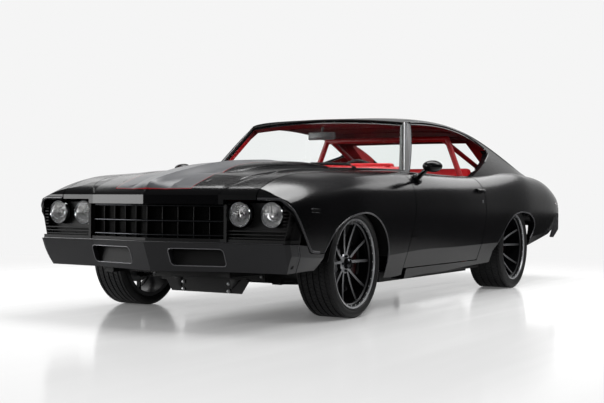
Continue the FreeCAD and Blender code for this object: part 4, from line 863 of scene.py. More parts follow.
class Skin:
    """The faces of some CAD nodes, for pieces that lie on them."""

    def __init__(self, *names: str) -> None:
        """Gather the nodes' faces.

        Args:
            names: The CAD nodes.
        """
        verts: list[Vector] = []
        faces: list[list[int]] = []
        for name in names:
            obj = bpy.data.objects[name]
            start = len(verts)
            verts += [obj.matrix_world @ v.co for v in obj.data.vertices]
            faces += [[start + i for i in p.vertices] for p in obj.data.polygons]
        self.tree = BVHTree.FromPolygons(verts, faces)

    def hit(self, start: Point, way: Point) -> Optional[Vector]:
        """Give where a ray first meets the nodes, or None."""
        return self.tree.ray_cast(Vector(start), Vector(way).normalized())[0]

    def hits(self, starts: Iterable[Point], way: Point) -> Iterator[tuple[Point, Vector]]:
        """Give each start whose ray meets the nodes, with the place where it does."""
        for start in starts:
            found = self.hit(start, way)
            if found is not None:
                yield start, found

    def side_path(self, outline: Iterable[Pair], side: Side, lift: float = 0.0) -> list[Point]:
        """Lay points given by Y and Z on one flank, lifted off it."""
        starts = [(RAY_X * side.value, y, z) for y, z in outline]
        return [
            (found.x + lift * side.value, y, z) for (_, y, z), found in self.hits(starts, (-side.value, 0, 0))
        ]


def patch(
    bm: bmesh.types.BMesh, skin: Skin, side: Side, start_x: float, way: int, rows: Sequence[Sequence[Pair]],
    lift: float, thickness: float,
) -> None:
    """Add a sheet that follows a flank, from rows of points given by Y and Z.

    Args:
        bm: The mesh that takes the sheet.
        skin: The flank's faces.
        side: Which flank.
        start_x: Where the rays start, on the left.
        way: One for rays towards the outside, minus one for rays towards the inside.
        rows: Rows of points, all of one length.
        lift: How far the sheet stands off the flank.
        thickness: The sheet's thickness.
    """
    grid = []
    for row in rows:
        line = []
        for y, z in row:
            found = skin.hit((start_x * side.value, y, z), (way * side.value, 0, 0))
            x = found.x if found is not None else line[-1].co.x if line else start_x * side.value
            line.append(bm.verts.new((x - way * side.value * lift, y, z)))
        grid.append(line)
    faces = [bm.faces.new((a, b, c, d)) for low, high in zip(grid, grid[1:])
             for a, b, c, d in zip(low, low[1:], high[1:], high)]
    raise_faces(bm, faces, (-way * side.value * thickness, 0, 0))


def between(first: Pair, second: Pair, share: float) -> Pair:
    """Give the point that divides the run between two others."""
    return (first[0] + (second[0] - first[0]) * share, first[1] + (second[1] - first[1]) * share)


def grid_rows(corners: Sequence[Pair], across: int, up: int) -> list[list[Pair]]:
    """Divide a four-cornered outline in Y and Z into rows of points."""
    first, second, third, fourth = corners
    ends = [
        (between(first, second, i / across), between(fourth, third, i / across)) for i in range(across + 1)
    ]
    return [[between(low, high, j / up) for low, high in ends] for j in range(up + 1)]


# Wheels
# The tyre's section, each point by its distance inside the full width and then, for the bead, the height
# over the rim, for the wall, the share of the wall's height, and for the shoulder, the drop from the tread
TYRE_BEAD = (
    (0.0225, -0.0167), (0.0195, 0.0015), (0.0105, 0.002), (0.006, 0.0045), (0.0052, 0.008), (0.0072, 0.0095)
)
TYRE_WALL = ((0.003, 0.32), (0.0006, 0.44), (0.0012, 0.53), (0.0026, 0.55), (0.0018, 0.60), (0.0045, 0.70))
TYRE_SHOULDER = ((0.0085, 0.0115), (0.0135, 0.0072))
# The rim's lip and the hub's cap, by the distance out along the axle and the radius; the lip's radius is
# counted inwards from the rim's
RIM_LIP = (
    (-0.004, 0.0002), (0.0006, 0.0004), (0.0012, 0.002), (0.0008, 0.0095), (-0.006, 0.0115), (-0.006, 0.004)
)
WHEEL_CAP = (
    (0.018, 0.0), (0.018, 0.0305), (0.0235, 0.0305), (0.0275, 0.026), (0.0265, 0.021), (0.0285, 0.019),
    (0.0295, 0.0),
)


@dataclass
class RoadWheel:
    """One wheel: its tyre with tread and walls, and the trim on its rim.

    Attributes:
        place: Front or rear, as the nodes call it.
        side: The car's side.
        hub_y: The axle's Y.
        radius: The tyre's radius and the hub's height.
        width: The tyre's width.
        inner_x: Where the tyre starts, from the car's middle.
        lip_x: The rim's outer lip.
        dish: How far the hub's face lies inside the lip.
        pitches: Tread blocks round the tyre.
        rim_radius: The rim's radius at its lip.
        block_height: Height of the tread's blocks.
        groove: Half the width of a groove between them.
        floor_dip: How far the grooves' floor lies under the blocks' foot.
        slant: How far round a block runs from the middle to the shoulder, in blocks.
        disc_gap: How far the brake disc's face lies inside the hub's.
        nut_circle: Radius of the circle of wheel nuts.
    """

    place: str
    side: Side
    hub_y: float
    radius: float
    width: float
    inner_x: float
    lip_x: float
    dish: float
    pitches: int = 78
    rim_radius: float = 0.271
    block_height: float = 0.0055
    groove: float = 0.0045
    floor_dip: float = 0.0012
    slant: float = 1.6
    disc_gap: float = 0.028
    nut_circle: float = 0.0455

    @property
    def body(self) -> str:
        """The body that the wheel is."""
        return f"wheel_{self.place}_{self.side.word}"

    @property
    def tail(self) -> str:
        """The end of the pieces' names."""
        return f"{self.place}_{self.side.word}"

    def point(self, x: float, radius: float = 0.0, degrees: float = 0.0) -> Point:
        """Give a point by its X from the car's middle and its place round the hub."""
        t = math.radians(degrees)
        return (x * self.side.value, self.hub_y + radius * math.cos(t), self.radius + radius * math.sin(t))

    @property
    def axis(self) -> Point:
        """The way out along the axle."""
        return (float(self.side.value), 0.0, 0.0)

    def tyre_profile(self) -> tuple[list[Pair], list[Pair]]:
        """Give the tyre's section from the axle's middle plane, and its tread bands."""
        half, rim, top, groove = self.width / 2, self.rim_radius, self.radius, self.groove
        wall = top - rim
        side = [(half - inset, rim + rise) for inset, rise in TYRE_BEAD]
        side += [(half - inset, rim + wall * share) for inset, share in TYRE_WALL]
        side += [(half - inset, top - drop) for inset, drop in TYRE_SHOULDER]
        base = top - self.block_height
        floor = base - self.floor_dip
        step = (half - 0.042) / 2
        bands = [
            (2 * step + groove, half - 0.019), (step + groove, 2 * step - groove), (groove, step - groove)
        ]
        tread = []
        for low, high in bands:
            edge = low - 2 * groove if low > groove else -low
            tread += [(high, base), (low, base), (low, floor), (edge, floor)]
        right = side + tread[:-1]
        left = [(-x, r) for x, r in reversed(right)]
        return right + left, bands

    def tyre(self) -> None:
        """Model the tyre: a spun section, slanted tread blocks and ribs round its walls."""
        section, bands = self.tyre_profile()
        middle = self.inner_x + self.width / 2
        bm = bmesh.new()
        lathe(bm, section, self.point(middle), self.axis, steps=self.pitches)
        bmesh.ops.remove_doubles(bm, verts=bm.verts, dist=1e-6)
        bmesh.ops.recalc_face_normals(bm, faces=bm.faces)
        centre_x = middle * self.side.value
        hub = Vector((0.0, self.hub_y, self.radius))
        for vert in bm.verts:
            across = abs(vert.co.x - centre_x) / (self.width / 2)
            turn = Matrix.Rotation(across * self.slant * 2 * math.pi / self.pitches, 3, "X")
            arm = Vector((0.0, vert.co.y, vert.co.z)) - hub
            if arm.length > self.radius - 0.02:
                turned = turn @ arm + hub
                vert.co.y, vert.co.z = turned.y, turned.z
        base = self.radius - self.block_height
        blocks = []
        for face in bm.faces:
            spot = face.calc_center_median()
            across = abs(spot.x - centre_x)
            out = math.hypot(spot.y - hub.y, spot.z - hub.z)
            if out > base - self.floor_dip and any(low < across < high for low, high in bands):
                blocks.append(face)
        bmesh.ops.inset_individual(bm, faces=blocks, thickness=0.0013, depth=self.block_height - 0.0003)
        tyre = finish_piece(bm, f"tread_tyre_{self.tail}", RUBBER, self.body, sharp=28)
        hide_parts(f"tyre_{self.tail}")

    def lip(self) -> None:
        """Turn the rim's polished lip."""
        section = [(along, self.rim_radius - drop) for along, drop in RIM_LIP]
        turned_piece(
            f"rim_lip_{self.tail}", POLISHED_LIP, self.body, section, self.point(self.lip_x), self.axis, 120
        )

    def bolts(self) -> None:
        """Set the bolts and the valve on the rim's step."""
        bm = bmesh.new()
        for turn in range(0, 360, 12):
            foot = self.point(self.lip_x - 0.0085, self.rim_radius - 0.0163, turn)
            dome(bm, foot, self.axis, 0.0036, 0.0026)
        rod(
            bm, self.point(self.lip_x - 0.03, 0.243, 100), self.point(self.lip_x, 0.240, 100), 0.004, 10,
            0.003,
        )
        finish_piece(bm, f"rim_bolts_{self.tail}", BRIGHT_BOLT, self.body)

    def hub(self) -> None:
        """Set the wheel nuts and the cap."""
        hub_x = self.lip_x - self.dish
        bm = bmesh.new()
        for turn in range(36, 396, 72):
            foot = self.point(hub_x - 0.006, self.nut_circle, turn)
            for out, radius, sides in ((0.013, 0.0085, 6), (0.018, 0.005, 12)):
                rod(bm, foot, self.point(hub_x + out, self.nut_circle, turn), radius, sides)
        finish_piece(bm, f"wheel_nuts_{self.tail}", DARK_CHROME, self.body, bevel=0.0008)
        turned_piece(
            f"wheel_cap_{self.tail}", DARK_CHROME, self.body, WHEEL_CAP, self.point(hub_x), self.axis, 40,
            False,
        )

    def disc(self, face_x: float) -> None:
        """Face the brake disc with a turned ring, and dark discs as painted shade where its drilled holes
        are.
        """
        finish = Machined(
            f"turned_disc_steel_{self.place}", "#6e6f72", "#7b7c7f", metallic=1.0, roughness=0.28,
            grain_mm=3.0, relief_mm=0.05, centre=(self.hub_y, self.radius),
        )
        ring = [(-0.0002, 0.092), (0.0009, 0.093), (0.0009, 0.1765), (-0.0002, 0.1775)]
        turned_piece(f"disc_face_{self.tail}", finish, self.body, ring, self.point(face_x), self.axis, 96)
        bm = bmesh.new()
        # Thin dark discs on the face stand for the drilled holes: painted shade
        hole = [(0.0, 0.0), (0.0, 0.0042), (0.0004, 0.0038), (0.0004, 0.0)]
        for i in range(36):
            centre = self.point(face_x + 0.0007, (0.112, 0.134, 0.156)[i % 3], 10 * i)
            lathe(bm, hole, centre, self.axis, steps=10, closed=False)
        finish_piece(bm, f"disc_holes_{self.tail}", SEAL_RUBBER, self.body)

    def caliper(self, face_x: float) -> None:
        """Cover the caliper's outer half with its enamelled body, which the wheel's carrier holds; its red is
        darkened as painted shade.
        """
        arc = [-26, -20, -10, 0, 10, 20, 26]
        low = [self.point(face_x + 0.0012, 0.128 + 0.008 * (abs(a) > 22), a) for a in arc]
        high = [self.point(face_x + 0.0012, 0.1835 - 0.006 * (abs(a) > 22), a) for a in reversed(arc)]
        bm = bmesh.new()
        panel(bm, low + high, (0.0026 * self.side.value, 0, 0))
        carrier = f"knuckle_{self.side.word}" if self.place == "front" else "body"
        finish_piece(bm, f"caliper_{self.tail}", DARKENED_RED_ENAMEL, carrier, bevel=0.0012)

    def build(self) -> None:
        """Build the whole wheel."""
        self.tyre()
        self.lip()
        self.bolts()
        self.hub()
        face_x = self.lip_x - self.dish - self.disc_gap
        self.disc(face_x)
        self.caliper(face_x)


# Lamps
@dataclass
class FrontLamps:
    """The four round headlamps and the two side markers ahead of the wheels.

    Attributes:
        radius: A lamp's radius.
        height: The lamps' height.
        spots: The inner and the outer lamp on the left, by X and the Y of the face.
        marker: The marker's ends in Y and in Z.
        marker_corner: Radius of its rim's corners.
    """

    radius: float = 0.072
    height: float = 0.625
    spots: tuple[Pair, ...] = ((0.563, -2.380), (0.768, -2.374))
    marker: tuple[Pair, Pair] = ((-2.225, -2.132), (0.638, 0.659))
    marker_corner: float = 0.006

    def lamp(self, x: float, face_y: float, name: str) -> list[Piece]:
        """Build one lamp from its bowl, its ring, its bulb's shield and its lens."""
        centre, axis, r = (x, face_y, self.height), (0.0, 1.0, 0.0), self.radius
        bowl = [
            (0.0035, r - 0.0062), (0.012, r - 0.009), (0.026, r - 0.018), (0.038, r - 0.031),
            (0.046, r - 0.047), (0.050, 0.011),
        ]
        outer = [
            (0.056, 0.011), (0.056, 0.026), (0.046, r - 0.028), (0.030, r - 0.012), (0.012, r - 0.0045),
            (0.0035, r - 0.004),
        ]
        made = [turned_piece(f"reflector_{name}", REFLECTOR, "body", bowl + outer, centre, axis)]
        bm = bmesh.new()
        ring = [
            (0.014, r - 0.0002), (-0.003, r - 0.0002), (-0.0065, r - 0.0018), (-0.0078, r - 0.0045),
            (-0.006, r - 0.0072),
        ]
        ring += [(0.001, r - 0.0085), (0.006, r - 0.0075), (0.014, r - 0.0035)]
        lathe(bm, ring, centre, axis, steps=64)
        inner = [(0.018, 0.026), (0.016, 0.0275), (0.018, 0.029), (0.030, 0.029), (0.030, 0.026)]
        lathe(bm, inner, centre, axis, steps=40)
        for turn in (90, 210, 330):
            t = math.radians(turn)
            ends = [
                (x + out * math.cos(t), face_y + 0.024, self.height + out * math.sin(t))
                for out in (0.027, 0.050)
            ]
            rod(bm, *ends, 0.0012, 8)
        made.append(finish_piece(bm, f"lamp_ring_{name}", CHROME, "body"))
        bulb = [
            (0.012, 0.0), (0.0135, 0.005), (0.018, 0.0085), (0.026, 0.009), (0.034, 0.007), (0.050, 0.007),
            (0.050, 0.0),
        ]
        made.append(turned_piece(f"bulb_shield_{name}", DARK_CHROME, "body", bulb, centre, axis, 24, False))
        rim = r - 0.0068
        front = [(-0.0005 - 0.0105 * (1 - (k / 8) ** 2), rim * k / 8) for k in range(9)]
        back = [(along + 0.003, radius) for along, radius in reversed(front)]
        lens = turned_piece(f"lamp_lens_{name}", LAMP_GLASS, "body", front + back, centre, axis, 48, False)
        return made + [lens]

    def marker_lens(self, skin: Skin, side: Side) -> Piece:
        """Lay the marker's dark lens flush in the fender, with a smoked chrome rim round it."""
        (y0, y1), (z0, z1) = self.marker
        corners = ((y0, z0), (y1, z0), (y1, z1), (y0, z1))
        bm = bmesh.new()
        patch(bm, skin, side, RAY_X, -1, grid_rows(corners, 8, 3), 0.0012, -0.008)
        lens = finish_piece(bm, f"marker_lens_front_{side.word}", SMOKED_LENS, "body")
        r = self.marker_corner
        rounded = []
        for (y, z), (sy, sz) in zip(corners, ((1, 1), (-1, 1), (-1, -1), (1, -1))):
            pair = [(y + sy * r, z), (y, z + sz * r)]
            rounded += pair if sy != sz else pair[::-1]
        path = skin.side_path(rounded, side, 0.001)
        bead(f"marker_rim_front_{side.word}", path, 0.0016, DARK_CHROME, "body", smooth=False, cyclic=True)
        return lens

    def build(self) -> None:
        """Build all lamps and let them stand for the CAD's solid ones."""
        skin = Skin("headlamps")
        pieces = []
        for side in Side:
            for index, (x, face_y) in enumerate(self.spots):
                pieces += self.lamp(
                    x * side.value, face_y, f"{'inner' if index == 0 else 'outer'}_{side.word}"
                )
            pieces.append(self.marker_lens(skin, side))
        for piece in pieces:
            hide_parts("headlamps")


# Body trim
@dataclass
class Nose:
    """What dresses the grille, the bumper and the guard under it.

    Attributes:
        front_y: What the nose's plan is measured from.
        breaks: The nose's plan, as pairs of X and the distance behind front_y.
        grille_half: Half the grille's width.
        grille_low: The grille's foot.
        grille_high: The grille's head.
        mesh_pitch: The mesh's pitch.
        slot: The left slot's ends in X and in Z.
        slot_corner: Radius of the slot's corners.
    """

    front_y: float = -2.505
    breaks: tuple[Pair, ...] = ((0.0, -0.019), (0.451, 0.074), (0.862, 0.094))
    grille_half: float = 0.474
    grille_low: float = 0.488
    grille_high: float = 0.675
    mesh_pitch: float = 0.0095
    slot: tuple[Pair, Pair] = ((0.1375, 0.4735), (0.3305, 0.4295))
    slot_corner: float = 0.022

    def face_y(self, x: float, back: float = 0.0) -> float:
        """Give the nose's face at X, moved back."""
        across = abs(x)
        for (x0, b0), (x1, b1) in zip(self.breaks, self.breaks[1:]):
            if across <= x1:
                return self.front_y + b0 + (b1 - b0) * (across - x0) / (x1 - x0) + back
        return self.front_y + self.breaks[-1][1] + back

    def across(self, half: float) -> tuple[float, ...]:
        """Give the X of a bar's ends and of the nose's breaks between them."""
        corner = self.breaks[1][0]
        return (-half, -corner, 0.0, corner, half)

    def mesh_sheet(self) -> None:
        """Weave the fine black mesh ahead of the grille's plate."""
        bm = bmesh.new()
        across = int(2 * self.grille_half / self.mesh_pitch)
        up = int((self.grille_high - self.grille_low) / self.mesh_pitch)
        bmesh.ops.create_grid(bm, x_segments=across, y_segments=up, size=1.0)
        for vert in bm.verts:
            x = vert.co.x * self.grille_half
            z = self.grille_low + (vert.co.y + 1) / 2 * (self.grille_high - self.grille_low)
            vert.co = (x, self.face_y(x, 0.0565), z)
        bmesh.ops.recalc_face_normals(bm, faces=bm.faces)
        bmesh.ops.wireframe(
            bm, faces=bm.faces, thickness=0.0018, use_replace=True, use_even_offset=False, use_boundary=True
        )
        finish_piece(bm, "grille_mesh", MESH_BLACK, "body")

    def bars(self) -> None:
        """Face the level grille bars with satin strips, and the uprights with thin edges."""
        for name, z, radius in (("low", 0.5035, 0.0048), ("middle", 0.5845, 0.0048), ("top", 0.6705, 0.0035)):
            path = [(x, self.face_y(x, 0.0345), z) for x in self.across(self.grille_half)]
            bead(f"grille_bar_{name}", path, radius, DARK_CHROME, "body", smooth=False)
        bm = bmesh.new()
        for i in range(11):
            x = -self.grille_half + 2 * self.grille_half * i / 10
            y = self.face_y(x, 0.0385)
            slab(bm, (x - 0.0022, y - 0.0015, self.grille_low), (x + 0.0022, y + 0.003, self.grille_high))
        finish_piece(bm, "grille_uprights", GRAINED_ABS, "body", bevel=0.0006)

    def slot_rims(self, skin: Skin) -> None:
        """Roll a rim round each slot in the bumper, pale as a painted highlight."""
        (x0, x1), (z0, z1), r = *self.slot, self.slot_corner
        corners = ((x1 - r, z1 - r, 0), (x0 + r, z1 - r, 90), (x0 + r, z0 + r, 180), (x1 - r, z0 + r, 270))
        for side in Side:
            starts = []
            for cx, cz, start in corners:
                for turn in (0, 30, 60, 90):
                    t = math.radians(start + turn)
                    starts.append(((cx + r * math.cos(t)) * side.value, -RAY_Y, cz + r * math.sin(t)))
            path = [(x, found.y - 0.0002, z) for (x, _, z), found in skin.hits(starts, (0, 1, 0))]
            bead(
                f"bumper_slot_rim_{side.word}", path, 0.0026, BUMPER_EDGE_HIGHLIGHT, "body", smooth=False, cyclic=True
            )

    def bumper_seams(self, skin: Skin) -> None:
        """Mark the joint between the bumper and its painted end caps, with a pale bead ahead of it as a
        painted highlight.
        """
        seam = [(-2.268 - 0.05 * k / 8, 0.309 + (0.452 - 0.309) * k / 8) for k in range(9)]
        for side in Side:
            path = skin.side_path(seam, side)
            bead(f"bumper_cap_seam_{side.word}", path, 0.0028, SEAL_RUBBER, "body")
            # The pale bead beside the seam is a painted highlight on the edge
            bright = [(x, y - 0.006, z) for x, y, z in path]
            bead(f"bumper_cap_edge_{side.word}", bright, 0.0016, BUMPER_EDGE_HIGHLIGHT, "body")

    def top_bead(self) -> None:
        """Roll the bumper's top edge and set the brackets over it."""
        path = [(x, self.face_y(x, 0.003), 0.4655) for x in self.across(0.86)]
        # The top roll wears the bumper paint, lightened as painted light
        bead("bumper_top_roll", path, 0.0045, LIGHTENED_BUMPER_PAINT, "body", smooth=False)
        bm = bmesh.new()
        for x in (-0.62, -0.22, 0.22, 0.62):
            y = self.face_y(x, 0.045)
            slab(bm, (x - 0.02, y - 0.012, 0.440), (x + 0.02, y + 0.012, 0.4675))
        finish_piece(bm, "bumper_brackets", GRAINED_ABS, "body", bevel=0.002)

    def guard(self) -> None:
        """Cap the guard's bolts and set the gussets beside it."""
        bm = bmesh.new()
        for x in (-0.17, 0.17):
            for z in (0.149, 0.194):
                dome(bm, (x, -1.9058, z), (0, -1, 0), 0.0125, 0.007)
        for x in (-0.40, 0.40):
            dome(bm, (x, -1.9, 0.245), (0, -1, 0), 0.008, 0.006)
        finish_piece(bm, "guard_bolts", BRIGHT_BOLT, "body")
        bm = bmesh.new()
        for x in (-1, 1):
            panel(
                bm, [(x * 0.18, -1.9015, 0.222), (x * 0.255, -1.9015, 0.222), (x * 0.19, -1.9015, 0.160)],
                (0, -0.004, 0),
            )
        finish_piece(bm, "guard_gussets", CHASSIS, "body", bevel=0.0008)

    def slat_ends(self) -> None:
        """Close the lamp panel's slats at their outer ends."""
        low, high = (0.8565, 0.484), (0.9005, 0.676)
        front, rear = 0.0245, 0.09
        for side in Side:
            corners = []
            for (x, z), back in ((low, front), (low, rear), (high, rear), (high, front)):
                corners.append((x * side.value, self.face_y(x, back), z))
            bm = bmesh.new()
            panel(bm, corners, (-0.002 * side.value, 0, 0))
            finish_piece(bm, f"slat_end_{side.word}", NOSE_PLATE, "body")

    def build(self) -> None:
        """Build the nose's trim."""
        self.slat_ends()
        self.mesh_sheet()
        self.bars()
        skin = Skin("bumper_front")
        self.slot_rims(skin)
        self.bumper_seams(skin)
        self.top_bead()
        self.guard()


@dataclass
class Hood:
    """The pressed creases on both sides of the hood's raised centre.

    Attributes:
        crease: The crease's course on the left, as pairs of X and Y.
        fold: The second, lower fold nearer to the middle.
        sunk: How far under the skin the middle of a bead lies, as a share of its radius.
        over_z: The height that rays look for the hood from.
    """

    crease: tuple[Pair, ...] = (
        (0.449, -2.424), (0.469, -2.400), (0.497, -2.375), (0.527, -2.307), (0.544, -2.225), (0.546, -2.126),
        (0.530, -2.0), (0.498, -1.88),
    )
    fold: tuple[Pair, ...] = (
        (0.300, -2.330), (0.318, -2.240), (0.352, -2.10), (0.384, -1.92), (0.402, -1.70), (0.410, -1.45)
    )
    sunk: float = 0.55
    over_z: float = 1.3

    def build(self) -> None:
        """Press the creases, which lie on the hood and open with it."""
        skin = Skin("hood")
        for side in Side:
            for name, course, radius in (("crease", self.crease, 0.0055), ("fold", self.fold, 0.0035)):
                starts = [(x * side.value, y, self.over_z) for x, y in course]
                found = skin.hits(starts, (0, 0, -1))
                path = [(x, y, place.z - radius * self.sunk) for (x, y, _), place in found]
                bead(f"hood_{name}_{side.word}", path, radius, HOOD_PAINT, "hood", resolution=3)


@dataclass
class Flanks:
    """The lips, mouldings, handles and mirrors along both sides.

    Attributes:
        front_axle_y: The front axle's Y.
        rear_axle_y: The rear axle's Y.
        hub_z: The front axle's height.
    """

    front_axle_y: float = -1.600
    rear_axle_y: float = 1.245
    hub_z: float = 0.328

    def front_arch(self, grow: float) -> list[Pair]:
        """Give the front arch's edge, grown outwards."""
        flare = [
            (459, 81), (421, 127), (383, 173), (339, 208), (291, 236), (242, 258), (180, 279), (104, 295)
        ]
        path = [(-a / 1000, u / 1000) for a, u in flare]
        for turn in (0, 12, 25, 38, 52, 66, 80, 92):
            t = math.radians(turn)
            path.append((0.368 * math.sin(t), 0.302 * math.cos(t)))
        return self.grown(path, self.front_axle_y, self.hub_z, grow)

    def rear_arch(self, grow: float) -> list[Pair]:
        """Give the rear arch's edge, grown outwards."""
        path = [
            (-0.470, 0.395), (-0.325, 0.517), (-0.190, 0.592), (-0.020, 0.622), (0.150, 0.620), (0.310, 0.590)
        ]
        path += [(0.392, 0.530), (0.385, 0.460), (0.330, 0.400)]
        return self.grown(path, self.rear_axle_y, 0.0, grow, middle=(-0.02, 0.36))

    def grown(
        self, path: Sequence[Pair], y: float, z: float, grow: float, middle: Pair = (0.0, 0.0)
    ) -> list[Pair]:
        """Move a path outwards from its middle and place it at the axle."""
        moved = []
        for a, b in path:
            reach = math.hypot(a - middle[0], b - middle[1])
            k = 1 + grow / reach
            moved.append((y + middle[0] + (a - middle[0]) * k, z + middle[1] + (b - middle[1]) * k))
        return moved

    def arch_lips(self, side: Side, skin: Skin) -> None:
        """Roll the lips of both arches, lighter than the paint as a painted highlight."""
        for place, outline in (("front", self.front_arch(0.006)), ("rear", self.rear_arch(0.006))):
            path = skin.side_path(outline, side, -0.0035)
            bead(f"arch_lip_{place}_{side.word}", path, 0.0062, PAINT_EDGE_HIGHLIGHT, "body", resolution=3)

    def fender_flange(self, side: Side) -> None:
        """Roll the flange down the fender's slanted front edge and along its foot, lighter as a painted
        highlight.
        """
        skin = Skin(f"fender_{side.word}")
        outline = [
            (-2.120, 0.4125), (-2.180, 0.414), (-2.205, 0.4225), (-2.230, 0.446), (-2.268, 0.496),
            (-2.300, 0.537),
        ]
        outline += [(-2.328, 0.576), (-2.360, 0.617), (-2.392, 0.655)]
        path = skin.side_path([(y + 0.007, z + 0.004) for y, z in outline], side, -0.003)
        head = ((0.872, 0.688), (0.846, 0.7095), (0.80, 0.7105), (0.75, 0.7105), (0.702, 0.7105))
        starts = [(x * side.value, -RAY_Y, z) for x, z in head]
        path += [(x, found.y + 0.002, z) for (x, _, z), found in skin.hits(starts, (0, 1, 0))]
        bead(f"fender_flange_{side.word}", path, 0.0085, PAINT_EDGE_HIGHLIGHT, "body", resolution=3)

    def window_trim(self, side: Side) -> None:
        """Edge the side window with smoked chrome by the screen pillar and black along roof and quarter."""
        skin = Skin("body_shell")
        pillar = [(-0.683, 0.912), (-0.560, 1.028), (-0.437, 1.145), (-0.318, 1.259)]
        roof = [
            (-0.318, 1.259), (-0.16, 1.2755), (0.035, 1.2805), (0.215, 1.2790), (0.395, 1.2755),
            (0.570, 1.2600),
        ]
        roof += [(0.745, 1.2425), (0.885, 1.2200), (0.995, 1.1960), (1.085, 1.1700), (1.150, 1.1480)]
        quarter = [
            (1.158, 1.138), (1.166, 1.122), (1.152, 1.096), (1.05, 1.068), (0.89, 1.022), (0.73, 0.978),
            (0.60, 0.943), (0.50, 0.916),
        ]
        gutter = [(-0.700 + 0.345 * t, 0.935 + 0.338 * t) for t in (k / 6 for k in range(7))]
        # Each moulding's name, course, shift along Y and Z, lift off the skin, radius and finish
        rows = (
            ("pillar_moulding", pillar, (0.0, 0.0), 0.001, 0.0026, DARK_CHROME),
            ("pillar_seal", pillar, (0.012, -0.003), -0.004, 0.006, SEAL_RUBBER),
            ("roof_rail", roof, (0.0, 0.004), 0.001, 0.0062, GLOSS_ABS),
            ("rail_bright", roof, (0.0, 0.013), 0.0005, 0.0022, DARK_CHROME),
            ("quarter_trim", quarter, (0.004, 0.004), 0.0, 0.0075, GLOSS_ABS),
            ("pillar_gutter", gutter, (0.0, 0.0), 0.0005, 0.0025, DARK_CHROME),
        )
        for name, course, (along, up), lift, radius, finish in rows:
            path = skin.side_path([(y + along, z + up) for y, z in course], side, lift)
            bead(f"{name}_{side.word}", path, radius, finish, "body")

    def door_pieces(self, side: Side) -> None:
        """Set the handle, its button and the lock on the door."""
        body = f"door_{side.word}"
        skin = Skin(body)
        s = side.value
        spot = skin.hit((RAY_X * s, 0.325, 0.760), (-s, 0, 0))
        x = spot.x if spot is not None else 0.945 * s
        low, high = sorted((x - 0.006 * s, x + 0.017 * s))
        block_piece(
            f"door_handle_{side.word}", GLOSS_ABS, body, (low, 0.252, 0.778), (high, 0.398, 0.799), 0.006
        )
        bm = bmesh.new()
        rod(bm, (x + 0.012 * s, 0.372, 0.7885), (x + 0.0205 * s, 0.372, 0.7885), 0.0072, 20)
        finish_piece(bm, f"handle_button_{side.word}", DARK_CHROME, body, bevel=0.0012)
        lock = skin.hit((RAY_X * s, 0.365, 0.710), (-s, 0, 0))
        if lock is not None:
            section = [
                (-0.003, 0.0), (-0.003, 0.0105), (0.0006, 0.0105), (0.002, 0.0085), (0.0014, 0.006),
                (0.0018, 0.0),
            ]
            turned_piece(
                f"door_lock_{side.word}", CHROME, body, section, (lock.x, 0.365, 0.710), (s, 0, 0), 28, False
            )

    def mirror(self, side: Side) -> None:
        """Set the mirror's glass in its bowl, and thicken its arm and foot."""
        body = f"door_{side.word}"
        s = side.value
        bm = bmesh.new()
        made = bmesh.ops.create_circle(bm, cap_ends=True, segments=48, radius=1.0)
        turn = Matrix.Rotation(math.radians(90), 4, "X")
        place = Matrix.Translation((1.016 * s, -0.7512, 0.939)) @ turn
        place = place @ Matrix.Diagonal((0.0595, 0.0335, 1.0, 1.0))
        bmesh.ops.transform(bm, matrix=place, verts=made["verts"])
        raise_faces(bm, bm.faces[:], (0, 0.0018, 0))
        finish_piece(bm, f"mirror_glass_{side.word}", CHROME, body, bevel=0.0006)
        arm = [
            (0.912 * s, -0.752, 0.868), (0.935 * s, -0.762, 0.884), (0.960 * s, -0.772, 0.905),
            (0.992 * s, -0.777, 0.925),
        ]
        bead(f"mirror_arm_{side.word}", arm, 0.0165, GLOSS_ABS, body, resolution=4)
        section = [(-0.03, 0.0), (-0.03, 0.036), (0.004, 0.040), (0.010, 0.036), (0.013, 0.026), (0.014, 0.0)]
        turned_piece(
            f"mirror_foot_{side.word}", GLOSS_ABS, body, section, (0.906 * s, -0.753, 0.858),
            (0.86 * s, 0.0, 0.5), 32, False,
        )

    def sill(self, side: Side) -> None:
        """Run the pinch seam under the sill."""
        low, high = side.bounds(0.800, 0.806)
        block_piece(
            f"sill_seam_{side.word}", CHASSIS, "body", (low, -0.90, 0.196), (high, 0.66, 0.226), 0.001
        )

    def build(self) -> None:
        """Build both sides."""
        for side in Side:
            self.arch_lips(side, Skin(f"fender_{side.word}", "body_shell", "bumper_front"))
            self.fender_flange(side)
            self.window_trim(side)
            self.door_pieces(side)
            self.mirror(side)
            self.sill(side)


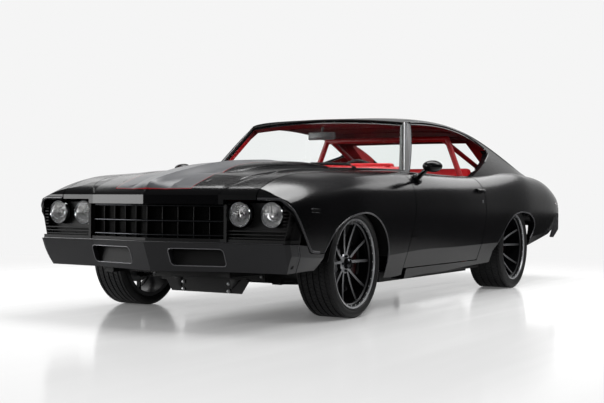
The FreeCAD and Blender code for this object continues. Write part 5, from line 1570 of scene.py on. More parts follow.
@dataclass
class Screens:
    """The seals round the glass, the wipers and the cowl's vents."""

    def edge(
        self, low: Point, low_mid: Point, top: Point, top_mid: Point, out: Vector
    ) -> dict[str, list[Point]]:
        """Give the four edges of a bowed screen, moved out along its normal."""
        def arc(corner: Point, middle: Point) -> list[Point]:
            points = []
            for k in range(-8, 9):
                u = k / 8
                y = middle[1] + (corner[1] - middle[1]) * u * u
                z = middle[2] + (corner[2] - middle[2]) * u * u
                points.append(tuple(Vector((corner[0] * u, y, z)) + out))
            return points

        bottom, head = arc(low, low_mid), arc(top, top_mid)
        return {"bottom": bottom, "head": head, "right": [bottom[0], head[0]], "left": [bottom[-1], head[-1]]}

    def seals(self) -> None:
        """Lay the seals of both screens, and a pale line beside the windscreen's."""
        front = self.edge(
            (0.769, -0.688, 0.911), (0.0, -0.839, 0.930), (0.627, -0.383, 1.259), (0.0, -0.443, 1.292),
            Vector((0, -0.002, 0.002)),
        )
        for name, path in front.items():
            bead(f"screen_seal_{name}", path, 0.0075, SEAL_RUBBER, "body", smooth=name in ("bottom", "head"))
        for name, sign in (("left", 1), ("right", -1)):
            path = [(x + 0.010 * sign, y - 0.004, z + 0.005) for x, y, z in front[name]]
            bead(f"screen_moulding_{name}", path, 0.0022, POLISHED_LIP, "body", smooth=False)
        rear = self.edge(
            (0.584, 1.602, 0.956), (0.0, 1.652, 0.962), (0.552, 1.062, 1.243), (0.0, 1.102, 1.249),
            Vector((0, 0.001, 0.003)),
        )
        for name, path in rear.items():
            bead(
                f"rear_screen_seal_{name}", path, 0.0065, SEAL_RUBBER, "body",
                smooth=name in ("bottom", "head"),
            )

    def wipers(self) -> None:
        """Park both wipers low on the screen."""
        skin = Skin("windscreen", "body_shell")
        way = (0, 0.74, -0.67)
        for index, (pivot_x, tip_x) in enumerate(((0.46, -0.02), (-0.14, -0.60))):
            starts = []
            for k in range(7):
                x = tip_x + (pivot_x - 0.04 - tip_x) * k / 6
                starts.append((x, -0.80 + 0.10 * (x / 0.77) ** 2 - 0.74 * 0.3, 0.943 + 0.67 * 0.3))
            path = [(x, found.y - 0.008, found.z + 0.0085) for (x, _, _), found in skin.hits(starts, way)]
            if len(path) > 2:
                bead(f"wiper_blade_{index}", path, 0.0055, SEAL_RUBBER, "body")
                arm = [(x, y - 0.010, z + 0.009) for x, y, z in path[2:]]
                foot = (pivot_x, arm[-1][1] - 0.030, arm[-1][2] - 0.026)
                bead(f"wiper_arm_{index}", arm + [foot], 0.0042, GLOSS_ABS, "body")
                section = [(-0.045, 0.0), (-0.045, 0.016), (0.0, 0.016), (0.006, 0.012), (0.008, 0.0)]
                turned_piece(
                    f"wiper_pivot_{index}", GLOSS_ABS, "body", section, foot, (0, -0.3, 0.95), 24, False
                )

    def vents(self) -> None:
        """Set the black cowl grille ahead of the screen."""
        skin = Skin("body_shell")
        bm = bmesh.new()
        for i in range(34):
            x = -0.56 + 1.12 * i / 33
            y = -0.872 + 0.085 * (x / 0.69) ** 2
            found = skin.hit((x, y, 1.2), (0, 0, -1))
            if found is None or found.z < 0.86:
                continue
            slab(bm, (x - 0.0085, y - 0.002, found.z - 0.004), (x + 0.0085, y + 0.017, found.z + 0.001))
        finish_piece(bm, "cowl_vents", GRAINED_ABS, "body", bevel=0.001)

    def build(self) -> None:
        """Build the screens' pieces."""
        self.seals()
        self.wipers()
        self.vents()


@dataclass
class Tail:
    """What dresses the tail: lamp bezels, rear markers, blank plate, lock and exhaust tips.

    Attributes:
        tail_y: The tail's rearmost point.
        bezel: The left bezel's course in X and Z.
        marker: The rear marker's rim in Y and Z.
        lock_z: The lid lock's height.
        pipe: The left exhaust pipe in X and Z.
    """

    tail_y: float = 2.505
    bezel: tuple[Pair, ...] = (
        (0.428, 0.556), (0.62, 0.556), (0.822, 0.556), (0.826, 0.574), (0.822, 0.593), (0.62, 0.593),
        (0.428, 0.593), (0.424, 0.574),
    )
    marker: tuple[Pair, ...] = ((2.333, 0.688), (2.407, 0.688), (2.407, 0.705), (2.333, 0.705))
    lock_z: float = 0.80
    pipe: Pair = (0.395, 0.384)

    def lamps(self) -> None:
        """Frame each tail lamp in a smoked bezel and each rear marker in a pale rim."""
        lamps, markers = Skin("tail_lamps", "bumper_rear"), Skin("tail_lamps")
        for side in Side:
            starts = [(x * side.value, RAY_Y, z) for x, z in self.bezel]
            path = [(x, found.y + 0.001, z) for (x, _, z), found in lamps.hits(starts, (0, -1, 0))]
            bead(f"tail_lamp_bezel_{side.word}", path, 0.0034, DARK_CHROME, "body", smooth=False, cyclic=True)
            rim = markers.side_path(self.marker, side, 0.001)
            bead(f"marker_rim_rear_{side.word}", rim, 0.0022, POLISHED_LIP, "body", smooth=False, cyclic=True)

    def plate(self) -> None:
        """Hang the blank plate on the bumper between two bolts."""
        face = self.tail_y + 0.012
        block_piece(
            "blank_plate", PLATE_ENAMEL, "body", (-0.152, face, 0.462), (0.152, face + 0.003, 0.562), 0.001
        )
        bm = bmesh.new()
        for x in (-0.09, 0.09):
            dome(bm, (x, face + 0.003, 0.55), (0, 1, 0), 0.006, 0.003)
        slab(bm, (-0.17, face - 0.03, 0.45), (0.17, face - 0.001, 0.462))
        finish_piece(bm, "plate_bracket", DARK_CHROME, "body", bevel=0.001)

    def lid(self) -> None:
        """Set the lid's lock."""
        found = Skin("boot_lid").hit((0.0, 3.0, self.lock_z), (0, -1, 0))
        if found is not None:
            section = [
                (-0.004, 0.0), (-0.004, 0.017), (0.001, 0.017), (0.003, 0.014), (0.0022, 0.008), (0.0026, 0.0)
            ]
            turned_piece(
                "lid_lock", CHROME, "boot_lid", section, (0.0, found.y, self.lock_z), (0, 1, 0.1), 32, False
            )

    def tips(self) -> None:
        """Finish both exhaust pipes with rolled steel tips, and a dark disc in each as painted shade of the
        pipe's hollow.
        """
        tip = [
            (-0.10, 0.0275), (-0.02, 0.0305), (0.012, 0.0315), (0.016, 0.0300), (0.014, 0.0280),
            (-0.06, 0.0262), (-0.10, 0.0262),
        ]
        # A dark disc inside each tip closes the pipe: painted shade of its hollow
        bore = [(0.0, 0.0), (0.0, 0.0275), (-0.004, 0.0275), (-0.004, 0.0)]
        rows = (("tip", STEEL, tip, 0.022, 40, True), ("bore", SEAL_RUBBER, bore, 0.019, 32, False))
        x, z = self.pipe
        for side in Side:
            for name, finish, section, back, steps, closed in rows:
                centre = (x * side.value, self.tail_y - back, z)
                turned_piece(
                    f"exhaust_{name}_{side.word}", finish, "body", section, centre, (0, 1, 0), steps, closed
                )

    def build(self) -> None:
        """Build the tail's pieces."""
        self.lamps()
        self.plate()
        self.lid()
        self.tips()


# Cabin
@dataclass
class Cushion:
    """One stuffed part of a seat, blown up in its cover and then sewn.

    Attributes:
        name: The piece's name.
        low: The lowest corner before it swells.
        high: The highest corner before it swells.
        lean: Degrees that it leans back.
        pivot: The point of the lean in Y and Z.
        channels: X of the sewn channels.
        crown: The face that carries the channels, as a direction.
        voxel: Size of the remesh in metres.
        corner: Width of the rounding along the block's edges.
        cap: How far the cover may swell.
        sewing: Half the width of a sewn channel, and its depth.
    """

    name: str
    low: Point
    high: Point
    lean: float
    pivot: Pair
    channels: tuple[float, ...]
    crown: Point
    voxel: float = 0.009
    corner: float = 0.032
    cap: float = 0.022
    sewing: Pair = (0.0065, 0.0085)

    def block(self) -> Piece:
        """Make the rounded block that the cover starts from."""
        bm = bmesh.new()
        slab(bm, self.low, self.high)
        bmesh.ops.bevel(
            bm, geom=bm.edges[:], offset=self.corner, offset_type="OFFSET", affect="EDGES", segments=4,
            profile=0.5, material=-1, clamp_overlap=True,
        )
        turn = Matrix.Translation((0, *self.pivot)) @ Matrix.Rotation(math.radians(-self.lean), 4, "X")
        bmesh.ops.transform(
            bm, matrix=turn @ Matrix.Translation((0, -self.pivot[0], -self.pivot[1])), verts=bm.verts
        )
        bmesh.ops.recalc_face_normals(bm, faces=bm.faces)
        mesh = bpy.data.meshes.new(self.name)
        bm.to_mesh(mesh)
        bm.free()
        obj = bpy.data.objects.new(self.name, mesh)
        bpy.context.collection.objects.link(obj)
        return obj

    def apply(self, obj: Piece) -> None:
        """Bake the object's modifiers into its mesh."""
        graph = bpy.context.evaluated_depsgraph_get()
        mesh = bpy.data.meshes.new_from_object(obj.evaluated_get(graph))
        obj.modifiers.clear()
        old = obj.data
        obj.data = mesh
        bpy.data.meshes.remove(old)

    def swell(self, obj: Piece) -> None:
        """Blow the cover up with the cloth solver, within the cap."""
        start = [v.co.copy() for v in obj.data.vertices]
        cloth = obj.modifiers.new("cover", "CLOTH")
        cloth.settings.use_pressure = True
        cloth.settings.uniform_pressure_force = 4.0
        cloth.settings.effector_weights.gravity = 0.0
        cloth.settings.quality = 4
        cloth.point_cache.frame_end = 20
        scene = bpy.context.scene
        for frame in range(1, 21):
            scene.frame_set(frame)
        self.apply(obj)
        scene.frame_set(1)
        for vert, origin in zip(obj.data.vertices, start):
            move = vert.co - origin
            if move.length > self.cap:
                vert.co = origin + move.normalized() * self.cap

    def sew(self, obj: Piece) -> None:
        """Draw the cover in along its channels."""
        crown = Matrix.Rotation(math.radians(-self.lean), 3, "X") @ Vector(self.crown)
        width, depth = self.sewing
        normals = [vert.normal.copy() for vert in obj.data.vertices]
        for vert, normal in zip(obj.data.vertices, normals):
            facing = max(0.0, normal.dot(crown))
            pull = sum(math.exp(-((vert.co.x - x) / width) ** 2) for x in self.channels)
            vert.co -= crown * (depth * pull * facing)

    def build(self, node: str, mirror_node: Optional[str] = None, mirror_name: str = "") -> None:
        """Build the cushion, and its mirror image for the other side.

        Args:
            node: The CAD node that it stands for.
            mirror_node: The node that the mirror image stands for.
            mirror_name: The mirror image's name.
        """
        obj = self.block()
        remesh = obj.modifiers.new("voxels", "REMESH")
        remesh.mode = "VOXEL"
        remesh.voxel_size = self.voxel
        self.apply(obj)
        self.swell(obj)
        rounder = obj.modifiers.new("rounder", "SUBSURF")
        rounder.levels = 1
        rounder.render_levels = 1
        self.apply(obj)
        self.sew(obj)
        obj.data.shade_smooth()
        self.dress(obj, node)
        if mirror_node:
            mesh = obj.data.copy()
            mesh.transform(Matrix.Diagonal((-1.0, 1.0, 1.0, 1.0)))
            mesh.flip_normals()
            twin = bpy.data.objects.new(mirror_name, mesh)
            bpy.context.collection.objects.link(twin)
            self.dress(twin, mirror_node)

    def dress(self, obj: Piece, node: str) -> None:
        obj.data.materials.clear()
        obj.data.materials.append(RED_HIDE.material())
        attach(obj, "body")
        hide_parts(node)
        LOG.info("%s is stuffed and sewn for %s", obj.name, node)


@dataclass
class Seats:
    """The front buckets and the rear bench with their bases."""

    def front(self) -> None:
        """Build both front seats: cushion, back, the dark base under them and the shell behind them."""
        channels = (0.266, 0.334, 0.401, 0.468, 0.536)
        lean, pivot = 14.0, (0.33, 0.39)
        base = Cushion(
            "seat_cushion_left", (0.180, -0.190, 0.352), (0.622, 0.262, 0.448), 5.0, (0.26, 0.39), channels,
            (0, 0, 1),
        )
        base.build("seat_left", "seat_right", "seat_cushion_right")
        back = Cushion(
            "seat_back_left", (0.186, 0.292, 0.415), (0.616, 0.372, 0.905), lean, pivot, channels, (0, -1, 0)
        )
        back.build("seat_left", "seat_right", "seat_back_right")
        turn = Matrix.Translation((0, *pivot)) @ Matrix.Rotation(math.radians(-lean), 4, "X")
        turn = turn @ Matrix.Translation((0, -pivot[0], -pivot[1]))
        for side in Side:
            bm = bmesh.new()
            low, high = side.bounds(0.172, 0.630)
            slab(bm, (low, -0.185, 0.290), (high, 0.285, 0.352))
            for x in (0.20, 0.60):
                inner, outer = side.bounds(x - 0.014, x + 0.014)
                slab(bm, (inner, -0.20, 0.2535), (outer, 0.33, 0.292))
            runners = finish_piece(bm, f"seat_base_{side.word}", GRAINED_ABS, "body", bevel=0.006)
            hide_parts(f"seat_{side.word}")
            bm = bmesh.new()
            slab(bm, (low + 0.012, 0.385, 0.400), (high - 0.012, 0.402, 0.870))
            bmesh.ops.transform(bm, matrix=turn, verts=bm.verts)
            shell = finish_piece(bm, f"seat_shell_{side.word}", DARK_HIDE, "body", bevel=0.007)
            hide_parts(f"seat_{side.word}")

    def rear(self) -> None:
        """Build the rear bench in halves."""
        channels = (0.10, 0.19, 0.28, 0.37, 0.46)
        base = Cushion(
            "rear_cushion_left", (0.022, 0.672, 0.436), (0.565, 1.000, 0.512), 4.0, (0.98, 0.46), channels,
            (0, 0, 1), voxel=0.010,
        )
        base.build("rear_seat", "rear_seat", "rear_cushion_right")
        back = Cushion(
            "rear_back_left", (0.022, 1.002, 0.520), (0.565, 1.068, 0.828), 8.0, (1.03, 0.50), channels,
            (0, -1, 0), voxel=0.010,
        )
        back.build("rear_seat", "rear_seat", "rear_back_right")

    def build(self) -> None:
        """Build every seat."""
        self.front()
        self.rear()


@dataclass
class Fascia:
    """The dials, vents and knobs on the dash, and the wheel's and mirror's dressing.

    Attributes:
        face_y: The dash's rear face at face_z.
        face_z: The height where face_y is measured.
        lean: How far the face leans forwards for each metre of height.
        dials: Each dial's X, Z and radius.
        wheel_centre: The steering wheel's centre.
        wheel_tilt: Degrees that its column rises towards the driver.
        wheel_rim: The radius to the middle of the wheel's rim, and how far inside that its lacing lies.
    """

    face_y: float = -0.5775
    face_z: float = 0.76
    lean: float = 0.061
    dials: tuple[Point, ...] = (
        (0.290, 0.805, 0.054), (0.418, 0.805, 0.054), (0.500, 0.820, 0.030), (0.210, 0.820, 0.030),
        (0.354, 0.745, 0.026),
    )
    wheel_centre: Point = (0.352, -0.497, 0.826)
    wheel_tilt: float = 20
    wheel_rim: Pair = (0.171, 0.0145)

    def spot(self, x: float, z: float, out: float = 0.0) -> Point:
        """Give a point on the dash's rear face, which leans forwards as it rises."""
        return (x, self.face_y - (z - self.face_z) * self.lean + out, z)

    def instruments(self) -> None:
        """Set two large and three small dials in bright rings."""
        axis = (0.0, 1.0, 0.06)
        rings, faces, marks = bmesh.new(), bmesh.new(), bmesh.new()
        for x, z, r in self.dials:
            centre = self.spot(x, z)
            lathe(
                rings, [(-0.004, r), (0.008, r), (0.011, r - 0.003), (0.009, r - 0.006), (-0.004, r - 0.006)],
                centre, axis, 40,
            )
            lathe(
                faces, [(-0.004, 0.0), (-0.004, r - 0.005), (0.0025, r - 0.005), (0.0025, 0.0)], centre, axis,
                40, False,
            )
            for i in range(11):
                t = math.radians(-130 + 26 * i)
                inner, outer = (
                    (x + (r - drop) * math.sin(t), z + (r - drop) * math.cos(t)) for drop in (0.015, 0.008)
                )
                rod(marks, self.spot(*inner, 0.0033), self.spot(*outer, 0.0033), 0.0008, 6)
            needle = (r - 0.014) * 0.7
            rod(marks, self.spot(x, z, 0.0045), self.spot(x - needle, z - needle, 0.0045), 0.0011, 6)
        finish_piece(rings, "dial_rings", CHROME, "body")
        finish_piece(faces, "dial_faces", DIAL_FACE, "body")
        finish_piece(marks, "dial_marks", WHITE_INK, "body")

    def panels(self) -> None:
        """Lay the dark instrument panel, the glovebox lid, the vents and the knobs."""
        bm = bmesh.new()
        plate = ((0.16, 0.715), (0.545, 0.715), (0.56, 0.80), (0.545, 0.868), (0.16, 0.868))
        panel(bm, [self.spot(x, z) for x, z in plate], (0, 0.0022, 0.0))
        finish_piece(bm, "instrument_panel", GRAINED_ABS, "body", bevel=0.0008)
        bm = bmesh.new()
        lid = ((-0.60, 0.725), (-0.26, 0.725), (-0.26, 0.862), (-0.60, 0.862))
        panel(bm, [self.spot(x, z) for x, z in lid], (0, 0.007, 0.0))
        finish_piece(bm, "glovebox_lid", RED_HIDE, "body", bevel=0.003)
        block_piece("dash_pad", RED_HIDE, "body", (-0.655, -0.655, 0.925), (0.655, -0.572, 0.968), 0.017)
        bm = bmesh.new()
        for x in (-0.17, 0.085):
            for i in range(5):
                a, b = self.spot(x, 0.80 + 0.013 * i), self.spot(x + 0.075, 0.806 + 0.013 * i, 0.006)
                slab(bm, (a[0], a[1] - 0.002, a[2]), b)
        for x in (-0.09, -0.03, 0.03):
            rod(bm, self.spot(x, 0.745, -0.002), self.spot(x, 0.745, 0.019), 0.011, 20)
        slab(bm, (-0.075, self.face_y - 0.012, 0.785), (0.060, self.face_y + 0.003, 0.835))
        finish_piece(bm, "dash_vents_and_knobs", GLOSS_ABS, "body", bevel=0.001)

    def wheel(self) -> None:
        """Cap the steering wheel's hub and lace its rim."""
        tilt = math.radians(self.wheel_tilt)
        way = Vector((0.0, -math.cos(tilt), -math.sin(tilt)))
        centre = Vector(self.wheel_centre)
        section = [
            (0.010, 0.0), (0.010, 0.043), (0.013, 0.045), (0.017, 0.040), (0.019, 0.024), (0.017, 0.020),
            (0.018, 0.0),
        ]
        turned_piece(
            "horn_button", DARK_CHROME, "steering_wheel", section, tuple(centre), tuple(-way), 40, False
        )
        bm = bmesh.new()
        right = Vector((1, 0, 0))
        up = right.cross(way)
        for i in range(48):
            t = 2 * math.pi * i / 48
            out = right * math.cos(t) + up * math.sin(t)
            spot = centre + out * (self.wheel_rim[0] - self.wheel_rim[1])
            along = (up * math.cos(t) - right * math.sin(t)) * 0.0028
            rod(bm, tuple(spot - along + way * 0.002), tuple(spot + along - way * 0.002), 0.0010, 6)
        finish_piece(bm, "rim_lacing", RED_TUBE, "steering_wheel")

    def rear_mirror(self) -> None:
        """Set the rear-view mirror's glass and its back."""
        block_piece(
            "rear_view_glass", CHROME, "body", (-0.101, -0.4310, 1.158), (0.101, -0.4285, 1.200), 0.001
        )
        block_piece(
            "rear_view_back", MIRROR_GREY, "body", (-0.100, -0.4535, 1.157), (0.100, -0.4495, 1.201), 0.0018
        )

    def build(self) -> None:
        """Build the dash's pieces."""
        self.panels()
        self.instruments()
        self.wheel()
        self.rear_mirror()


@dataclass
class CabinTrim:
    """Door cards, quarter trims, pedals, buckles, lining bows, and the console's and the cage's dressing."""

    def door_card(self, side: Side) -> None:
        """Line the door with a padded card, an armrest and a pull."""
        body = f"door_{side.word}"
        s = side.value
        skin = Skin(body)
        bm = bmesh.new()
        rows = grid_rows(((-0.770, 0.310), (0.330, 0.310), (0.330, 0.785), (-0.770, 0.785)), 22, 10)
        patch(bm, skin, side, 0.5, 1, rows, 0.0, 0.009)
        finish_piece(bm, f"door_card_{side.word}", RED_HIDE, body, bevel=0.002)
        low, high = side.bounds(0.792, 0.832)
        block_piece(f"armrest_{side.word}", DARK_HIDE, body, (low, -0.42, 0.585), (high, 0.16, 0.640), 0.012)
        bm = bmesh.new()
        rod(bm, (0.822 * s, -0.52, 0.700), (0.806 * s, -0.52, 0.700), 0.012, 20)
        rod(bm, (0.808 * s, -0.52, 0.700), (0.808 * s, -0.44, 0.706), 0.0045, 12)
        finish_piece(bm, f"door_lever_{side.word}", CHROME, body, bevel=0.001)

    def quarter(self, side: Side) -> None:
        """Line the quarter beside the rear bench."""
        skin = Skin("body_shell")
        bm = bmesh.new()
        rows = grid_rows(((0.440, 0.43), (0.74, 0.43), (0.74, 0.80), (0.440, 0.80)), 8, 8)
        patch(bm, skin, side, 0.62, 1, rows, 0.0, 0.008)
        finish_piece(bm, f"quarter_card_{side.word}", RED_HIDE, "body", bevel=0.002)

    def belts(self) -> None:
        """Hang the lap belts' buckles beside the tunnel."""
        bm = bmesh.new()
        for side in Side:
            s = side.value
            rod(bm, (0.158 * s, 0.245, 0.40), (0.160 * s, 0.205, 0.485), 0.006, 10)
            low, high = side.bounds(0.152, 0.166)
            slab(bm, (low, 0.180, 0.475), (high, 0.222, 0.535))
        finish_piece(bm, "belt_buckles", GRAINED_ABS, "body", bevel=0.003)

    def pedals(self) -> None:
        """Hang the pedals."""
        bm = bmesh.new()
        for x, wide in ((0.245, 0.030), (0.355, 0.040), (0.475, 0.028)):
            slab(
                bm, (x - wide, -0.742, 0.330), (x + wide, -0.730, 0.402),
                Matrix.Rotation(math.radians(-25), 4, "X"),
            )
            rod(bm, (x, -0.745, 0.39), (x, -0.800, 0.62), 0.007, 10)
        finish_piece(bm, "pedals", GRAINED_ABS, "body", bevel=0.003)

    def console(self) -> None:
        """Trim the console's top and the lever's boot."""
        block_piece(
            "console_plate", DARK_CHROME, "body", (-0.068, -0.425, 0.4655), (0.068, 0.195, 0.4685), 0.0015
        )
        way = (0, 0.2, 1)
        boot = [
            (0.0, 0.0), (0.0, 0.046), (0.008, 0.044), (0.016, 0.032), (0.022, 0.033), (0.034, 0.020),
            (0.040, 0.021), (0.052, 0.011), (0.052, 0.0),
        ]
        turned_piece("lever_boot", DARK_HIDE, "body", boot, (0.0, -0.281, 0.468), way, 32, False)
        cap = [(0.0, 0.0), (0.0, 0.009), (0.0035, 0.008), (0.0035, 0.0)]
        turned_piece("knob_cap", DARK_CHROME, "body", cap, (0.0, -0.2435, 0.6665), way, 24, False)

    def lining(self) -> None:
        """Sew the roof lining's bows across the cabin."""
        skin = Skin("body_shell")
        for index, y in enumerate((-0.22, 0.06, 0.34, 0.62, 0.90)):
            starts = [(0.575 * k / 9, y, 1.02) for k in range(-9, 10)]
            found = skin.hits(starts, (0, 0, 1))
            path = [(x, y, place.z - 0.001) for (x, _, _), place in found if 1.1 < place.z < 1.33]
            if len(path) > 4:
                bead(f"lining_bow_{index}", path, 0.0035, LINING, "body")

    def cage_feet(self) -> None:
        """Bolt the cage's feet to the floor."""
        bm = bmesh.new()
        for side in Side:
            s = side.value
            low, high = side.bounds(0.640, 0.755)
            slab(bm, (low, 0.575, 0.2525), (high, 0.685, 0.259))
            for x in (0.655, 0.740):
                for y in (0.59, 0.67):
                    dome(bm, (x * s, y, 0.259), (0, 0, 1), 0.008, 0.006)
        finish_piece(bm, "cage_feet", RED_TUBE, "body", bevel=0.001)

    def bolster(self) -> None:
        """Lay the padded bolster behind the rear bench."""
        block_piece("rear_bolster", RED_HIDE, "body", (-0.565, 1.035, 0.80), (0.565, 1.125, 0.985), 0.03)

    def build(self) -> None:
        """Build the cabin's trim."""
        for side in Side:
            self.door_card(side)
            self.quarter(side)
        self.belts()
        self.pedals()
        self.console()
        self.lining()
        self.cage_feet()
        self.bolster()


@dataclass
class EngineBay:
    """A vee engine with its covers, air cleaner, pulleys and pipes, and the radiator's fins.

    Attributes:
        front_y: The block's front.
        rear_y: The block's rear.
        bank: Degrees that each bank of cylinders leans outwards.
        cleaner_y: The air cleaner's centre.
        spark_y: The spark distributor's Y.
    """

    front_y: float = -2.050
    rear_y: float = -1.180
    bank: float = 42
    cleaner_y: float = -1.61
    spark_y: float = -1.265

    def block(self) -> list[Piece]:
        """Cast the block, the sump, the heads and the gearbox."""
        bm = bmesh.new()
        slab(bm, (-0.150, self.front_y + 0.12, 0.300), (0.150, self.rear_y - 0.06, 0.560))
        slab(bm, (-0.140, self.front_y + 0.16, 0.266), (0.140, self.rear_y - 0.16, 0.302))
        for s in (-1, 1):
            turn = Matrix.Rotation(math.radians(self.bank * s), 4, "Y")
            slab(
                bm, (0.150 * s - 0.075, self.front_y + 0.14, 0.470),
                (0.150 * s + 0.075, self.rear_y - 0.08, 0.610), turn,
            )
        slab(bm, (-0.104, self.rear_y - 0.08, 0.246), (0.104, -0.80, 0.366))
        slab(bm, (-0.070, -0.82, 0.252), (0.070, -0.376, 0.350))
        block = finish_piece(bm, "engine_block", CAST_IRON, "body", bevel=0.012)
        bm = bmesh.new()
        for s in (-1, 1):
            turn = Matrix.Rotation(math.radians(self.bank * s), 4, "Y")
            slab(
                bm, (0.186 * s - 0.052, self.front_y + 0.16, 0.590),
                (0.186 * s + 0.052, self.rear_y - 0.10, 0.636), turn,
            )
        # The covers share the caliper's red, darkened as painted shade
        covers = finish_piece(bm, "rocker_covers", DARKENED_RED_ENAMEL, "body", bevel=0.012)
        bm = bmesh.new()
        slab(bm, (-0.092, self.front_y + 0.22, 0.555), (0.092, self.rear_y - 0.16, 0.640))
        for i in range(4):
            y = self.front_y + 0.28 + 0.13 * i
            for s in (-1, 1):
                rod(bm, (0.04 * s, y, 0.625), (0.135 * s, y, 0.585), 0.022, 16)
        slab(bm, (-0.058, -1.68, 0.635), (0.058, -1.54, 0.690))
        intake = finish_piece(bm, "intake_manifold", CAST_ALLOY, "body", bevel=0.006)
        return [block, covers, intake]

    def cleaner(self) -> list[Piece]:
        """Set the round air cleaner with its lid and wing nut."""
        bm = bmesh.new()
        centre, up = (0.0, self.cleaner_y, 0.690), (0, 0, 1)
        foot = [(0.0, 0.0), (0.0, 0.150), (0.006, 0.158), (0.010, 0.150), (0.010, 0.0)]
        lid = [
            (0.052, 0.0), (0.052, 0.150), (0.050, 0.158), (0.055, 0.160), (0.060, 0.152), (0.064, 0.09),
            (0.067, 0.03), (0.068, 0.0),
        ]
        for section in (foot, lid):
            lathe(bm, section, centre, up, 64, False)
        rod(bm, (0.0, self.cleaner_y, 0.755), (0.0, self.cleaner_y, 0.763), 0.006, 12)
        plates = finish_piece(bm, "air_cleaner_plates", CHROME, "body")
        paper = [(0.0095, 0.128), (0.0095, 0.145), (0.0525, 0.145), (0.0525, 0.128)]
        element = turned_piece("air_cleaner_element", RED_TUBE, "body", paper, centre, up, 72, sharp=10)
        return [plates, element]

    def drive(self) -> list[Piece]:
        """Hang the pulleys, the belt, the fan and the dynamo at the front."""
        bm = bmesh.new()
        y = self.front_y + 0.085
        for x, z, r in (
            (0.0, 0.360, 0.085), (0.0, 0.520, 0.070), (0.195, 0.560, 0.040), (-0.185, 0.500, 0.055)
        ):
            section = [
                (0.0, 0.0), (0.0, r), (0.006, r), (0.012, r - 0.012), (0.018, r), (0.024, r),
                (0.024, r - 0.02), (0.010, r - 0.025), (0.010, 0.0),
            ]
            lathe(bm, section, (x, y, z), (0, -1, 0), 40, False)
        rod(bm, (0.195, y + 0.01, 0.560), (0.195, y + 0.13, 0.560), 0.055, 28)
        rod(bm, (-0.185, y + 0.01, 0.500), (-0.185, y + 0.10, 0.500), 0.048, 28)
        pulleys = finish_piece(bm, "pulleys_and_dynamo", CAST_ALLOY, "body", bevel=0.0015)
        bm = bmesh.new()
        for i in range(6):
            t = math.radians(60 * i)
            x, z = 0.10 * math.cos(t), 0.520 + 0.10 * math.sin(t)
            turn = Matrix.Rotation(-t, 4, "Y") @ Matrix.Rotation(math.radians(32), 4, "X")
            slab(bm, (x - 0.065, y - 0.042, z - 0.022), (x + 0.065, y - 0.038, z + 0.022), turn)
        rod(bm, (0.0, y - 0.03, 0.520), (0.0, y - 0.052, 0.520), 0.034, 24)
        fan = finish_piece(bm, "cooling_fan", GRAINED_ABS, "body", bevel=0.001)
        course = (
            (0.085, 0.34), (0.235, 0.56), (0.195, 0.60), (0.0, 0.592), (-0.20, 0.558), (-0.242, 0.50),
            (-0.09, 0.33), (0.0, 0.272),
        )
        belt = bead(
            "drive_belt", [(x, y - 0.012, z) for x, z in course], 0.0055, SEAL_RUBBER, "body", cyclic=True
        )
        return [pulleys, fan, belt]

    def pipes(self) -> list[Piece]:
        """Bend the header pipes down both sides, and lead the sparks across."""
        made = []
        for side in Side:
            for i in range(4):
                y = self.front_y + 0.24 + 0.155 * i
                s = side.value
                path = [
                    (0.195 * s, y, 0.535), (0.228 * s, y + 0.005, 0.520), (0.236 * s, y + 0.03, 0.44),
                    (0.236 * s, y + 0.06, 0.36),
                ]
                made.append(bead(f"header_{side.word}_{i}", path, 0.0125, STEEL, "body", resolution=3))
                lead = [
                    (0.02 * s, self.spark_y, 0.700), (0.10 * s, y * 0.5 - 0.63, 0.716), (0.165 * s, y, 0.668),
                    (0.212 * s, y, 0.606),
                ]
                made.append(bead(f"spark_lead_{side.word}_{i}", lead, 0.004, SEAL_RUBBER, "body"))
        bm = bmesh.new()
        low, middle, high = ((0.0, self.spark_y, z) for z in (0.60, 0.668, 0.708))
        rod(bm, low, middle, 0.034, 24)
        rod(bm, middle, high, 0.042, 24, 0.030)
        made.append(finish_piece(bm, "spark_distributor", GLOSS_ABS, "body", bevel=0.002))
        return made

    def radiator(self) -> None:
        """Rib the radiator's core and set its cap."""
        bm = bmesh.new()
        for i in range(27):
            z = 0.372 + 0.0115 * i
            for y in (-2.2445, -2.1815):
                slab(bm, (-0.300, y - 0.0012, z), (0.300, y + 0.0012, z + 0.0045))
        finish_piece(bm, "radiator_fins", CAST_ALLOY, "body")
        cap = [(0.0, 0.0), (0.0, 0.026), (0.010, 0.028), (0.014, 0.024), (0.016, 0.010), (0.020, 0.0)]
        turned_piece("radiator_cap", CHROME, "body", cap, (0.22, -2.213, 0.700), (0, 0, 1), 28, False)

    def build(self) -> None:
        """Build the engine for its node, and dress the bay."""
        pieces = self.block() + self.cleaner() + self.drive() + self.pipes()
        for piece in pieces:
            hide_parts("engine")
        self.radiator()


